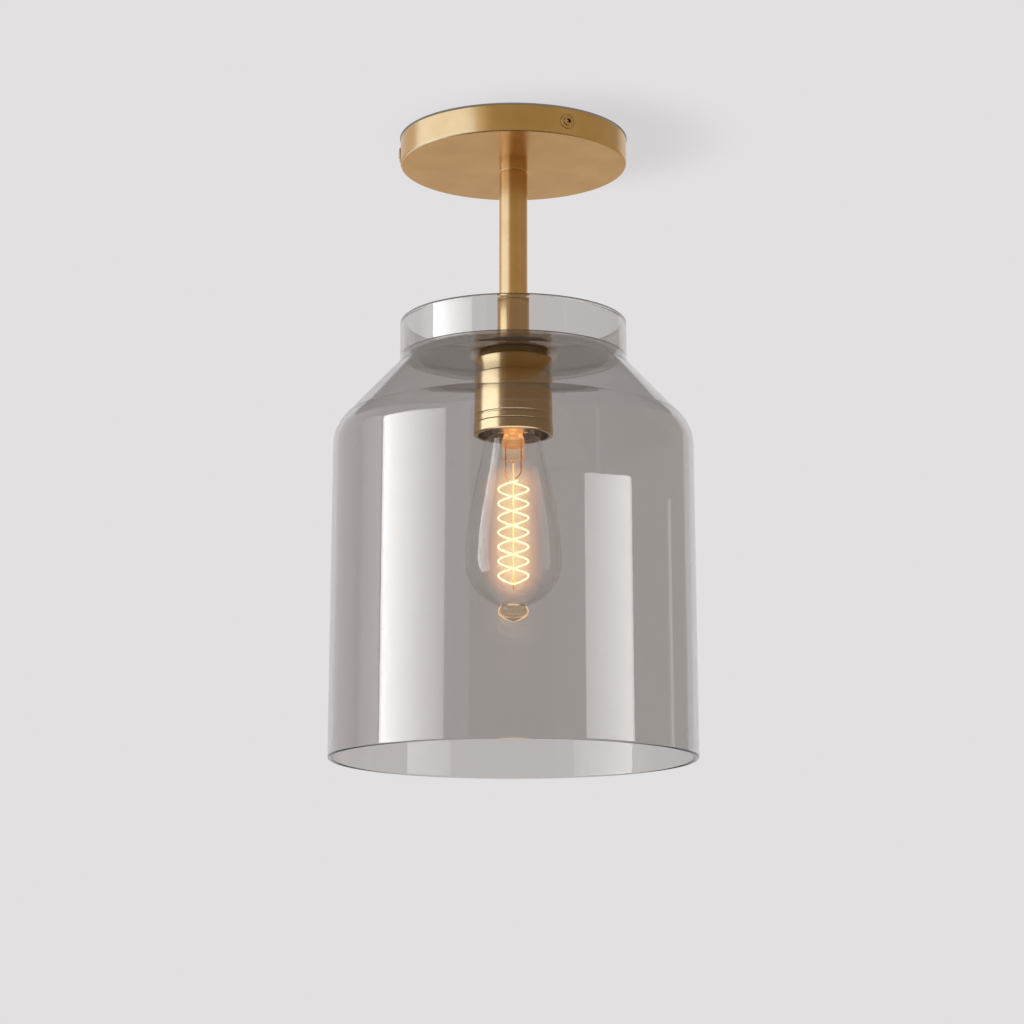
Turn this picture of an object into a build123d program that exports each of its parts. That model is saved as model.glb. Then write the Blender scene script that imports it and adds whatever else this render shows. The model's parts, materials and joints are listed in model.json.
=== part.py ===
from build123d import *
import math
import os

os.makedirs("parts", exist_ok=True)

# Semi-flush ceiling light: brass canopy and stem, smoked glass jar shade and one screw-in lamp.
# Millimetres. The ceiling is the plane z = 0, the light hangs below it round the Z axis,
# and the front of the light faces -Y.

# Clearances
thread_gap = 0.15
slide_gap = 0.1
seat_gap = 0.3

# Canopy and its side screws
canopy_d = 152.4
canopy_h = 18.4
canopy_wall = 1.2
canopy_edge_r = 1.6
screw_count = 3
first_screw_angle = -62.3
screw_d = 4.0
screw_head_d = 5.8
screw_head_h = 1.0
screw_head_edge_r = 0.45
screw_key = 2.3
screw_key_depth = 0.75
screw_reach = 3.5
washer_d = 9.7
washer_t = 0.4
washer_edge_r = 0.18
washer_gap = 0.05

# Ceiling plate
plate_d = 130.0
plate_t = 2.0
plate_wire_hole_d = 42.0
box_screw_spacing = 88.9
box_slot_w = 5.0
box_slot_l = 13.0
ear_w = 12.0
ear_drop = 15.0
ear_gap = 0.6
ground_screw_d = 4.0
ground_screw_x = -26.0
ground_screw_y = 26.0
ground_head_d = 7.2
ground_head_h = 2.4

# Threaded tubes and their nuts
nipple_d = 10.0
nipple_bore = 7.0
nipple_stickout = 1.2
canopy_nut_w = 14.0
canopy_nut_h = 4.0
lock_washer_d = 18.0
lock_washer_t = 1.0
socket_nut_w = 14.0
socket_nut_h = 3.6

# Stem
stem_d = 19.0
stem_wall = 1.5
stem_shown_l = 89.5
stem_edge = 0.4
collar_h = 4.1
collar_spigot_l = 10.0
sleeve_d = 21.4
sleeve_l = 35.0
sleeve_socket_depth = 12.0
sleeve_edge_r = 0.6
sleeve_ring_h = 3.4
sleeve_groove_w = 0.6
sleeve_groove_depth = 0.45
nipple_in_sleeve = 17.0

# Clamp on the glass floor
disc_d = 48.0
disc_t = 2.0
disc_edge_r = 0.7
gasket_d = 44.0
gasket_t = 1.0

# Glass shade
glass_t = 3.0
floor_hole_d = 14.0
neck_d = 151.0
neck_h = 23.0
neck_bead_r = 2.1
neck_floor_r = 5.0
shoulder_start = 6.0
shoulder_top_r = 7.0
shoulder_d = 238.4
shoulder_h = 46.5
shoulder_low_r = 25.0
floor_corner_r = 7.0
mouth_d = 241.0
mouth_edge_r = 1.4
body_h = 217.5

# Socket cup
cap_h = 11.0
cap_waist_in = 1.3
cap_edge_r = 1.2
cup_wall = 1.0
cap_skirt_l = 5.0
shell_d = 52.0
shell_l = 32.4
shell_edge_r = 0.8
shell_band = 5.4
shell_groove_w = 0.6
shell_groove_depth = 0.4
ring_proud = 0.5
ring_h = 7.6
ring_lip_w = 3.0
ring_lip_t = 1.2
ring_edge_r = 0.7
ring_spigot_l = 7.0

# Lampholder
strap_w = 16.0
strap_t = 1.2
strap_leg_l = 18.0
strap_screw_d = 3.0
strap_screw_l = 6.0
strap_head_d = 5.2
strap_head_h = 1.5
strap_screw_drop = 2.5
strap_room = 1.4
holder_l = 30.5
holder_roof = 5.0
wire_room = 5.5
screw_shell_bore = 27.2
screw_shell_t = 0.6
screw_shell_l = 24.5
screw_shell_port = 12.0
contact_d = 8.0
contact_t = 0.8
rivet_d = 3.0
rivet_l = 4.0
terminal_d = 3.5
terminal_backing = 1.2
terminal_head_d = 6.0
terminal_head_h = 1.7
terminal_drop = 13.5

# Wires
wire_d = 1.8
wire_offset = 1.3
wire_over_nipple = 6.8
wire_side_gap = 0.5
wire_nut_r = 5.5
wire_nut_tip_r = 3.4
wire_nut_l = 20.0
wire_nut_depth = 12.0
wire_nut_z = -8.5

# Lamp base
tip_d = 9.2
tip_h = 1.8
tip_edge_r = 0.8
insulator_top_d = 13.0
insulator_d = 21.6
insulator_h = 3.2
base_d = 26.2
base_wall = 0.45
base_cone_h = 1.9
base_l = 20.0

# Lamp glass
bulb_d = 63.8
bulb_wall = 0.8
bulb_neck_d = 24.6
bulb_neck_in_base = 4.5
bulb_neck_l = 5.5
bulb_shoulder_d = 37.2
bulb_shoulder_h = 6.0
bulb_shoulder_r = 4.5
bulb_taper_deg = 11.7
bulb_wide_drop = 93.5
pip_root_d = 16.4
pip_d = 20.0
pip_wide_drop = 2.2
pip_h = 9.0

# Lamp mount, filament and its carriers
flare_wall = 1.2
flare_l = 7.5
flare_tube_d = 12.0
press_w = 15.0
press_t = 6.0
press_edge_r = 1.5
press_start = 10.0
press_l = 17.0
rod_d = 2.0
rod_l = 80.0
rod_bead_d = 4.0
filament_wire_d = 1.6
filament_r = 10.0
filament_pitch = 19.7
filament_turns = 3
filament_top = 15.3
filament_bend_drop = 5.3
lead_d = 0.8
lead_x = 5.0
lead_stub = 4.5
lead_turn_x = 5.5
lead_gap = 0.15
lead_bend_r = 1.5
hook_d = 0.7
hook_bend_r = 1.5
hook_gap = 0.3
hook_above = 8.0

# Levels worked out from the sizes, from the ceiling down
canopy_r = canopy_d / 2
canopy_floor_z = canopy_wall - canopy_h
screw_z = -canopy_h / 2
collar_z = -canopy_h
stem_z = collar_z - collar_h
sleeve_z = stem_z - stem_shown_l
disc_z = sleeve_z - sleeve_l
upper_gasket_z = disc_z - disc_t
floor_z = upper_gasket_z - gasket_t
lower_gasket_z = floor_z - glass_t
cap_z = lower_gasket_z - gasket_t
shell_z = cap_z - cap_h
ring_z = shell_z - shell_l
strap_z = cap_z - cup_wall
socket_nut_z = strap_z - strap_t
nipple_end_z = socket_nut_z - socket_nut_h - nipple_stickout
holder_z = nipple_end_z - wire_room
holder_bore_z = holder_z - holder_roof
contact_z = holder_bore_z - contact_t
tip_z = contact_z - seat_gap
insulator_z = tip_z - tip_h
base_z = insulator_z - insulator_h
base_end_z = base_z - base_cone_h - base_l
bulb_top_z = base_end_z + bulb_neck_in_base
bulb_wide_z = bulb_top_z - bulb_wide_drop
press_z = bulb_top_z - press_start
press_end_z = press_z - press_l
rod_end_z = press_end_z - rod_l
filament_z = press_end_z - filament_top

# The lampholder and its strap fill the room that the socket cup leaves
cap_r = shell_d / 2
cap_waist_r = cap_r - cap_waist_in
strap_out_x = cap_waist_r - cup_wall - strap_room - strap_head_h
strap_in_x = strap_out_x - strap_t
holder_r = strap_in_x - slide_gap
holder_bore_r = screw_shell_bore / 2 + screw_shell_t + slide_gap
terminal_l = holder_r - holder_bore_r - terminal_backing

screw_angles = [first_screw_angle + i * 360 / screw_count for i in range(screw_count)]


def radial_plane(angle, radius, height):
    """Plane whose normal points away from the Z axis at an angle, a radius and a height."""
    out = Vector(1, 0, 0).rotate(Axis.Z, angle)
    along = Vector(0, 1, 0).rotate(Axis.Z, angle)
    return Plane(origin=out * radius + Vector(0, 0, height), x_dir=along, z_dir=out)


# Mounting plate with three ears folded down inside the canopy wall
ear_face_r = math.sqrt((canopy_r - canopy_wall - ear_gap) ** 2 - (ear_w / 2) ** 2)
arm_l = ear_face_r - plate_d / 2 + ear_w / 2
with BuildPart() as mounting_plate:
    with BuildSketch(Plane.XY.offset(-plate_t)):
        Circle(plate_d / 2)
        Circle(plate_wire_hole_d / 2, mode=Mode.SUBTRACT)
        with GridLocations(box_screw_spacing, 1, 2, 1):
            SlotOverall(box_slot_l, box_slot_w, mode=Mode.SUBTRACT)
        with Locations((ground_screw_x, ground_screw_y)):
            Circle(ground_screw_d / 2 + thread_gap, mode=Mode.SUBTRACT)
    extrude(amount=plate_t)
    with PolarLocations(ear_face_r, screw_count, start_angle=first_screw_angle):
        Box(arm_l, ear_w, plate_t, align=(Align.MAX, Align.CENTER, Align.MAX))
        Box(plate_t, ear_w, ear_drop, align=(Align.MAX, Align.CENTER, Align.MAX))
    for angle in screw_angles:
        with BuildSketch(radial_plane(angle, ear_face_r, screw_z)):
            Circle(screw_d / 2 + thread_gap)
        extrude(amount=-plate_t, mode=Mode.SUBTRACT)
mounting_plate.part.label = "mounting_plate"
export_step(mounting_plate.part, "parts/mounting_plate.step")

# Green ground screw in the plate
with BuildPart() as ground_screw:
    with BuildSketch(Plane.XY.offset(-plate_t)):
        with Locations((ground_screw_x, ground_screw_y)):
            RegularPolygon(ground_head_d / 2, 6)
    extrude(amount=-ground_head_h)
    with BuildSketch(Plane.XY.offset(-plate_t)):
        with Locations((ground_screw_x, ground_screw_y)):
            Circle(ground_screw_d / 2)
    extrude(amount=plate_t - slide_gap)
ground_screw.part.label = "ground_screw"
export_step(ground_screw.part, "parts/ground_screw.step")

# Canopy: a spun pan with a rounded lower edge, a stem hole and three side holes
canopy_hole_r = nipple_d / 2 + slide_gap
canopy_outline = [
    (canopy_hole_r, -canopy_h),
    (canopy_r, -canopy_h),
    (canopy_r, 0),
    (canopy_r - canopy_wall, 0),
    (canopy_r - canopy_wall, canopy_floor_z),
    (canopy_hole_r, canopy_floor_z),
]
canopy_inner_r = max(canopy_edge_r - canopy_wall, 0)
with BuildPart() as canopy:
    with BuildSketch(Plane.XZ):
        with BuildLine():
            FilletPolyline(*canopy_outline, radius=[0, canopy_edge_r, 0, 0, canopy_inner_r, 0], close=True)
        make_face()
    revolve(axis=Axis.Z)
    for angle in screw_angles:
        with BuildSketch(radial_plane(angle, canopy_r + washer_t, screw_z)):
            Circle(screw_d / 2 + thread_gap)
        extrude(amount=-canopy_wall - 2 * washer_t, mode=Mode.SUBTRACT)
canopy.part.label = "canopy"
export_step(canopy.part, "parts/canopy.step")

# Side screws with round socket heads, each on its own washer
washer_seat_r = canopy_r + washer_gap
head_seat_r = washer_seat_r + washer_t
shank_l = head_seat_r - ear_face_r + plate_t + screw_reach
for number, angle in enumerate(screw_angles, start=1):
    with BuildPart() as canopy_washer:
        with BuildSketch(radial_plane(angle, washer_seat_r, screw_z)):
            Circle(washer_d / 2)
            Circle(screw_d / 2 + thread_gap, mode=Mode.SUBTRACT)
        extrude(amount=washer_t)
        outer_edges = canopy_washer.edges().filter_by(GeomType.CIRCLE).sort_by(SortBy.RADIUS)[-2:]
        fillet(outer_edges, washer_edge_r)
    canopy_washer.part.label = f"canopy_washer_{number}"
    export_step(canopy_washer.part, f"parts/canopy_washer_{number}.step")

    head_plane = radial_plane(angle, head_seat_r, screw_z)
    with BuildPart() as canopy_screw:
        with BuildSketch(head_plane):
            Circle(screw_head_d / 2)
        extrude(amount=screw_head_h)
        head_face = canopy_screw.faces().filter_by(GeomType.PLANE).sort_by_distance((0, 0, screw_z))[-1]
        fillet(head_face.edges(), screw_head_edge_r)
        with BuildSketch(head_plane.offset(screw_head_h)):
            RegularPolygon(screw_key / 2, 6)
        extrude(amount=-screw_key_depth, mode=Mode.SUBTRACT)
        with BuildSketch(head_plane):
            Circle(screw_d / 2)
        extrude(amount=-shank_l)
    canopy_screw.part.label = f"canopy_screw_{number}"
    export_step(canopy_screw.part, f"parts/canopy_screw_{number}.step")

# Lock washer, nut and threaded tube that hang the stem from the canopy
nut_z = canopy_floor_z + lock_washer_t
upper_nipple_z = nut_z + canopy_nut_h + nipple_stickout
upper_nipple_l = upper_nipple_z - stem_z + collar_spigot_l - nipple_stickout
with BuildPart() as lock_washer:
    with BuildSketch(Plane.XY.offset(canopy_floor_z)):
        Circle(lock_washer_d / 2)
        Circle(nipple_d / 2 + thread_gap, mode=Mode.SUBTRACT)
    extrude(amount=lock_washer_t)
lock_washer.part.label = "lock_washer"
export_step(lock_washer.part, "parts/lock_washer.step")

with BuildPart() as canopy_nut:
    with BuildSketch(Plane.XY.offset(nut_z)):
        RegularPolygon(canopy_nut_w / 2, 6, major_radius=False)
        Circle(nipple_d / 2 + thread_gap, mode=Mode.SUBTRACT)
    extrude(amount=canopy_nut_h)
canopy_nut.part.label = "canopy_nut"
export_step(canopy_nut.part, "parts/canopy_nut.step")

with BuildPart() as upper_nipple:
    with BuildSketch(Plane.XY.offset(upper_nipple_z)):
        Circle(nipple_d / 2)
        Circle(nipple_bore / 2, mode=Mode.SUBTRACT)
    extrude(amount=-upper_nipple_l)
upper_nipple.part.label = "upper_nipple"
export_step(upper_nipple.part, "parts/upper_nipple.step")

# Collar under the canopy, with a spigot inside the stem tube
spigot_r = stem_d / 2 - stem_wall - slide_gap
with BuildPart() as stem_collar:
    with BuildSketch(Plane.XY.offset(stem_z)):
        Circle(stem_d / 2)
    extrude(amount=collar_h)
    chamfer(stem_collar.edges().group_by(Axis.Z)[0], stem_edge)
    with BuildSketch(Plane.XY.offset(stem_z)):
        Circle(spigot_r)
    extrude(amount=-collar_spigot_l)
    with BuildSketch(Plane.XY.offset(collar_z)):
        Circle(nipple_d / 2 + thread_gap)
    extrude(amount=-collar_h - collar_spigot_l, mode=Mode.SUBTRACT)
stem_collar.part.label = "stem_collar"
export_step(stem_collar.part, "parts/stem_collar.step")

# Stem tube, seated in the sleeve
with BuildPart() as stem_tube:
    with BuildSketch(Plane.XY.offset(stem_z)):
        Circle(stem_d / 2)
        Circle(stem_d / 2 - stem_wall, mode=Mode.SUBTRACT)
    extrude(amount=-stem_shown_l - sleeve_socket_depth)
    top_rim = stem_tube.edges().group_by(Axis.Z)[-1].sort_by(SortBy.RADIUS)[-1]
    chamfer(top_rim, stem_edge)
stem_tube.part.label = "stem_tube"
export_step(stem_tube.part, "parts/stem_tube.step")

# Coupling sleeve with a ring turned at its top
sleeve_groove_z = sleeve_z - sleeve_ring_h
with BuildPart() as coupling_sleeve:
    with BuildSketch(Plane.XY.offset(sleeve_z)):
        Circle(sleeve_d / 2)
    extrude(amount=-sleeve_l)
    fillet(coupling_sleeve.edges().group_by(Axis.Z)[-1], sleeve_edge_r)
    with BuildSketch(Plane.XY.offset(sleeve_z)):
        Circle(stem_d / 2 + slide_gap)
    extrude(amount=-sleeve_socket_depth, mode=Mode.SUBTRACT)
    with BuildSketch(Plane.XY.offset(sleeve_z)):
        Circle(nipple_d / 2 + thread_gap)
    extrude(amount=-sleeve_l, mode=Mode.SUBTRACT)
    with BuildSketch(Plane.XY.offset(sleeve_groove_z)):
        Circle(sleeve_d / 2 + sleeve_groove_w)
        Circle(sleeve_d / 2 - sleeve_groove_depth, mode=Mode.SUBTRACT)
    extrude(amount=-sleeve_groove_w, mode=Mode.SUBTRACT)
coupling_sleeve.part.label = "coupling_sleeve"
export_step(coupling_sleeve.part, "parts/coupling_sleeve.step")

with BuildPart() as lower_nipple:
    with BuildSketch(Plane.XY.offset(disc_z + nipple_in_sleeve)):
        Circle(nipple_d / 2)
        Circle(nipple_bore / 2, mode=Mode.SUBTRACT)
    extrude(amount=nipple_end_z - disc_z - nipple_in_sleeve)
lower_nipple.part.label = "lower_nipple"
export_step(lower_nipple.part, "parts/lower_nipple.step")

# Disc and rubber washers that clamp the glass floor
with BuildPart() as clamp_disc:
    with BuildSketch(Plane.XY.offset(disc_z)):
        Circle(disc_d / 2)
    extrude(amount=-disc_t)
    fillet(clamp_disc.edges().group_by(Axis.Z)[-1], disc_edge_r)
    with BuildSketch(Plane.XY.offset(disc_z)):
        Circle(nipple_d / 2 + thread_gap)
    extrude(amount=-disc_t, mode=Mode.SUBTRACT)
clamp_disc.part.label = "clamp_disc"
export_step(clamp_disc.part, "parts/clamp_disc.step")

for gasket_name, gasket_top in (("upper_gasket", upper_gasket_z), ("lower_gasket", lower_gasket_z)):
    with BuildPart() as gasket:
        with BuildSketch(Plane.XY.offset(gasket_top)):
            Circle(gasket_d / 2)
            Circle(nipple_d / 2 + slide_gap, mode=Mode.SUBTRACT)
        extrude(amount=-gasket_t)
    gasket.part.label = gasket_name
    export_step(gasket.part, f"parts/{gasket_name}.step")

# Glass shade: neck, floor, sloping shoulder and body in one blown piece
neck_r = neck_d / 2
bead_z = floor_z + neck_h - neck_bead_r
shoulder_z = floor_z - shoulder_start
shoulder_end_z = shoulder_z - shoulder_h
mouth_z = shoulder_end_z - body_h
slope_run = (shoulder_d - neck_d) / 2
slope_l = math.hypot(slope_run, shoulder_h)
slope_inset = glass_t * shoulder_h / slope_l
slope_drop = glass_t * slope_run / slope_l
under_floor_r = neck_r - slope_inset - (lower_gasket_z - shoulder_z + slope_drop) * slope_run / shoulder_h
corner_turn = math.atan2(shoulder_h, slope_run)
inner_corner_drop = glass_t * math.tan((math.pi / 2 - corner_turn) / 2)
shade_outline = [
    (neck_r, bead_z),
    (neck_r, shoulder_z),
    (shoulder_d / 2, shoulder_end_z),
    (mouth_d / 2, mouth_z),
    (mouth_d / 2 - glass_t, mouth_z),
    (shoulder_d / 2 - glass_t, shoulder_end_z - inner_corner_drop),
    (under_floor_r, lower_gasket_z),
    (floor_hole_d / 2, lower_gasket_z),
    (floor_hole_d / 2, floor_z),
    (neck_r - glass_t, floor_z),
    (neck_r - glass_t, bead_z),
]
mouth_round = min(mouth_edge_r, glass_t / 2 - slide_gap)
shade_radii = [
    0,
    shoulder_top_r,
    shoulder_low_r,
    mouth_round,
    mouth_round,
    shoulder_low_r - glass_t,
    floor_corner_r,
    0,
    0,
    neck_floor_r,
    0,
]
with BuildPart() as glass_shade:
    with BuildSketch(Plane.XZ):
        with BuildLine():
            FilletPolyline(*shade_outline, radius=shade_radii, close=True)
        make_face()
        with Locations((neck_r - neck_bead_r, bead_z)):
            Circle(neck_bead_r)
    revolve(axis=Axis.Z)
glass_shade.part.label = "glass_shade"
export_step(glass_shade.part, "parts/glass_shade.step")

# Socket cap: flared cup with a waist, its skirt tucked into the shell
cap_skirt_z = shell_z - cap_skirt_l
with BuildPart() as socket_cap:
    with BuildSketch(Plane.XZ):
        with BuildLine():
            top = Line((nipple_d / 2 + thread_gap, cap_z), (cap_r - cap_edge_r, cap_z))
            edge = TangentArc(top @ 1, (cap_r, cap_z - cap_edge_r), tangent=(1, 0))
            flare = Spline(edge @ 1, (cap_waist_r, shell_z), tangents=[(-0.3, -1), (0, -1)])
            Polyline(
                flare @ 1,
                (cap_waist_r, cap_skirt_z),
                (cap_waist_r - cup_wall, cap_skirt_z),
                (cap_waist_r - cup_wall, strap_z),
                (nipple_d / 2 + thread_gap, strap_z),
                top @ 0,
            )
        make_face()
    revolve(axis=Axis.Z)
socket_cap.part.label = "socket_cap"
export_step(socket_cap.part, "parts/socket_cap.step")

# Socket shell with a fine groove above its lower edge
with BuildPart() as socket_shell:
    with BuildSketch(Plane.XY.offset(shell_z)):
        Circle(shell_d / 2)
        Circle(shell_d / 2 - cup_wall, mode=Mode.SUBTRACT)
    extrude(amount=-shell_l)
    shell_rim = socket_shell.edges().group_by(Axis.Z)[-1].sort_by(SortBy.RADIUS)[-1]
    fillet(shell_rim, min(shell_edge_r, cup_wall - slide_gap))
    with BuildSketch(Plane.XY.offset(ring_z + shell_band)):
        Circle(shell_d / 2 + shell_groove_w)
        Circle(shell_d / 2 - shell_groove_depth, mode=Mode.SUBTRACT)
    extrude(amount=-shell_groove_w, mode=Mode.SUBTRACT)
socket_shell.part.label = "socket_shell"
export_step(socket_shell.part, "parts/socket_shell.step")

# Socket ring: lower end of the cup, with an inward lip and a spigot inside the shell
ring_r = shell_d / 2 + ring_proud
ring_mouth_r = ring_r - ring_lip_w
spigot_out_r = shell_d / 2 - cup_wall - slide_gap
spigot_in_r = spigot_out_r - cup_wall
ring_end_z = ring_z - ring_h
ring_outline = [
    (spigot_out_r, ring_z + ring_spigot_l),
    (spigot_out_r, ring_z),
    (ring_r, ring_z),
    (ring_r, ring_end_z),
    (ring_mouth_r, ring_end_z),
    (ring_mouth_r, ring_end_z + ring_lip_t),
    (spigot_in_r, ring_end_z + ring_lip_t),
    (spigot_in_r, ring_z + ring_spigot_l),
]
ring_radii = [0, 0, ring_edge_r / 2, ring_edge_r, 0, 0, 0, 0]
with BuildPart() as socket_ring:
    with BuildSketch(Plane.XZ):
        with BuildLine():
            FilletPolyline(*ring_outline, radius=ring_radii, close=True)
        make_face()
    revolve(axis=Axis.Z)
socket_ring.part.label = "socket_ring"
export_step(socket_ring.part, "parts/socket_ring.step")

# Lampholder strap: a steel bridge clamped under the cap, with two legs
strap_screw_z = holder_z - strap_screw_drop
with BuildPart() as lampholder_strap:
    with BuildSketch(Plane.XY.offset(strap_z)):
        Rectangle(2 * strap_out_x, strap_w)
        Circle(nipple_d / 2 + thread_gap, mode=Mode.SUBTRACT)
    extrude(amount=-strap_t)
    with BuildSketch(Plane.XY.offset(strap_z)):
        with GridLocations(strap_in_x + strap_out_x, 1, 2, 1):
            Rectangle(strap_t, strap_w)
    extrude(amount=-strap_leg_l)
    with BuildSketch(Plane.YZ.offset(-strap_out_x)):
        with Locations((0, strap_screw_z)):
            Circle(strap_screw_d / 2 + thread_gap)
    extrude(amount=2 * strap_out_x, mode=Mode.SUBTRACT)
lampholder_strap.part.label = "lampholder_strap"
export_step(lampholder_strap.part, "parts/lampholder_strap.step")

with BuildPart() as socket_nut:
    with BuildSketch(Plane.XY.offset(socket_nut_z)):
        RegularPolygon(socket_nut_w / 2, 6, major_radius=False)
        Circle(nipple_d / 2 + thread_gap, mode=Mode.SUBTRACT)
    extrude(amount=-socket_nut_h)
socket_nut.part.label = "socket_nut"
export_step(socket_nut.part, "parts/socket_nut.step")

# Porcelain lampholder with blind holes for its side screws
terminal_z = holder_z - terminal_drop
with BuildPart() as lampholder_body:
    with BuildSketch(Plane.XY.offset(holder_z)):
        Circle(holder_r)
        Circle(rivet_d / 2 + slide_gap, mode=Mode.SUBTRACT)
    extrude(amount=-holder_l)
    with BuildSketch(Plane.XY.offset(holder_bore_z)):
        Circle(holder_bore_r)
    extrude(amount=holder_roof - holder_l, mode=Mode.SUBTRACT)
    for angle in (0, 180):
        with BuildSketch(radial_plane(angle, strap_out_x, strap_screw_z)):
            Circle(strap_screw_d / 2 + thread_gap)
        extrude(amount=-strap_screw_l - seat_gap, mode=Mode.SUBTRACT)
    for angle in (90, -90):
        with BuildSketch(radial_plane(angle, holder_r, terminal_z)):
            Circle(terminal_d / 2 + thread_gap)
        extrude(amount=-terminal_l - seat_gap, mode=Mode.SUBTRACT)
lampholder_body.part.label = "lampholder_body"
export_step(lampholder_body.part, "parts/lampholder_body.step")

with BuildPart() as strap_screws:
    for angle in (0, 180):
        with BuildSketch(radial_plane(angle, strap_out_x, strap_screw_z)):
            Circle(strap_head_d / 2)
        extrude(amount=strap_head_h)
        with BuildSketch(radial_plane(angle, strap_out_x, strap_screw_z)):
            Circle(strap_screw_d / 2)
        extrude(amount=-strap_screw_l)
strap_screws.part.label = "strap_screws"
export_step(strap_screws.part, "parts/strap_screws.step")

with BuildPart() as terminal_screws:
    for angle in (90, -90):
        with BuildSketch(radial_plane(angle, holder_r, terminal_z)):
            Circle(terminal_head_d / 2)
        extrude(amount=terminal_head_h)
        with BuildSketch(radial_plane(angle, holder_r, terminal_z)):
            Circle(terminal_d / 2)
        extrude(amount=-terminal_l)
terminal_screws.part.label = "terminal_screws"
export_step(terminal_screws.part, "parts/terminal_screws.step")

# Screw shell and centre contact of the lampholder
with BuildPart() as screw_shell:
    with BuildSketch(Plane.XY.offset(holder_bore_z)):
        Circle(screw_shell_bore / 2 + screw_shell_t)
        Circle(screw_shell_port / 2, mode=Mode.SUBTRACT)
    extrude(amount=-screw_shell_l)
    with BuildSketch(Plane.XY.offset(holder_bore_z - screw_shell_t)):
        Circle(screw_shell_bore / 2)
    extrude(amount=screw_shell_t - screw_shell_l, mode=Mode.SUBTRACT)
screw_shell.part.label = "screw_shell"
export_step(screw_shell.part, "parts/screw_shell.step")

with BuildPart() as center_contact:
    with BuildSketch(Plane.XY.offset(contact_z)):
        Circle(contact_d / 2)
    extrude(amount=contact_t)
    with BuildSketch(Plane.XY.offset(holder_bore_z)):
        Circle(rivet_d / 2)
    extrude(amount=rivet_l)
center_contact.part.label = "center_contact"
export_step(center_contact.part, "parts/center_contact.step")


def tube_along(points, radii, diameter):
    """Round wire along straight runs joined by arcs, as a part."""
    with BuildPart() as tube:
        with BuildLine() as route:
            FilletPolyline(*points, radius=radii)
        start = Plane(origin=route.line @ 0, z_dir=route.line % 0)
        with BuildSketch(start):
            Circle(diameter / 2)
        sweep(path=route.line)
    return tube.part


# Fixture leads, from the wire nuts in the canopy down the stem to the lampholder's side screws
wire_top_z = upper_nipple_z + wire_over_nipple
wire_low_z = (nipple_end_z + holder_z) / 2
wire_side_y = holder_r + wire_d / 2 + wire_side_gap
wire_end_z = terminal_z + terminal_head_d / 2 + seat_gap
wire_drop_r = nipple_end_z - wire_low_z
wire_nut_y = 52.0
for side, pole in ((1, "live"), (-1, "neutral")):
    wire_points = [
        (0, side * wire_nut_y, wire_nut_z),
        (0, side * 34.0, wire_nut_z),
        (0, side * 20.0, wire_top_z),
        (0, side * wire_offset, wire_top_z),
        (0, side * wire_offset, wire_low_z),
        (0, side * wire_side_y, wire_low_z),
        (0, side * wire_side_y, wire_end_z),
    ]
    wire_radii = [30.0, 30.0, wire_over_nipple, wire_drop_r, wire_drop_r]
    wire = tube_along(wire_points, wire_radii, wire_d)
    wire.label = f"wire_{pole}"
    export_step(wire, f"parts/wire_{pole}.step")

ground_start_y = ground_screw_y - ground_head_d / 2 - seat_gap
ground_wire_z = -plate_t - ground_head_h / 2
ground_points = [
    (ground_screw_x, ground_start_y, ground_wire_z),
    (ground_screw_x, 8.0, ground_wire_z),
    (-27.0, -8.0, wire_nut_z),
    (-32.0, -28.0, wire_nut_z),
]
ground_wire = tube_along(ground_points, [30.0, 30.0], wire_d)
ground_wire.label = "ground_wire"
export_step(ground_wire, "parts/ground_wire.step")

# Wire nuts, each pushed over the end of its lead
nut_places = {
    "live": (Vector(0, wire_nut_y, wire_nut_z), Vector(0, 1, 0)),
    "neutral": (Vector(0, -wire_nut_y, wire_nut_z), Vector(0, -1, 0)),
    "ground": (Vector(*ground_points[-1]), Vector(*ground_points[-1]) - Vector(*ground_points[-2])),
}
for pole, (wire_end, direction) in nut_places.items():
    toward = direction.normalized()
    mouth = Plane(origin=wire_end - toward * wire_nut_depth, z_dir=toward)
    with BuildPart() as wire_nut:
        with BuildSketch(mouth):
            Circle(wire_nut_r)
        with BuildSketch(mouth.offset(wire_nut_l)):
            Circle(wire_nut_tip_r)
        loft()
        with BuildSketch(mouth):
            Circle(wire_d / 2 + slide_gap)
        extrude(amount=wire_nut_depth, mode=Mode.SUBTRACT)
    wire_nut.part.label = f"wire_nut_{pole}"
    export_step(wire_nut.part, f"parts/wire_nut_{pole}.step")

# Lamp base: tip contact, black insulator and metal screw cap
with BuildPart() as bulb_tip_contact:
    with BuildSketch(Plane.XY.offset(tip_z)):
        Circle(tip_d / 2)
    extrude(amount=-tip_h)
    fillet(bulb_tip_contact.edges().group_by(Axis.Z)[-1], tip_edge_r)
bulb_tip_contact.part.label = "bulb_tip_contact"
export_step(bulb_tip_contact.part, "parts/bulb_tip_contact.step")

with BuildPart() as bulb_insulator:
    with BuildSketch(Plane.XY.offset(insulator_z)):
        Circle(insulator_top_d / 2)
    with BuildSketch(Plane.XY.offset(base_z)):
        Circle(insulator_d / 2)
    loft()
bulb_insulator.part.label = "bulb_insulator"
export_step(bulb_insulator.part, "parts/bulb_insulator.step")

base_outline = [
    (0, base_z),
    (insulator_d / 2, base_z),
    (base_d / 2, base_z - base_cone_h),
    (base_d / 2, base_end_z),
    (base_d / 2 - base_wall, base_end_z),
    (base_d / 2 - base_wall, base_z - base_cone_h),
    (insulator_d / 2 - base_wall, base_z - base_wall),
    (0, base_z - base_wall),
]
with BuildPart() as bulb_screw_cap:
    with BuildSketch(Plane.XZ):
        with BuildLine():
            Polyline(*base_outline, close=True)
        make_face()
    revolve(axis=Axis.Z)
bulb_screw_cap.part.label = "bulb_screw_cap"
export_step(bulb_screw_cap.part, "parts/bulb_screw_cap.step")

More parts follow.
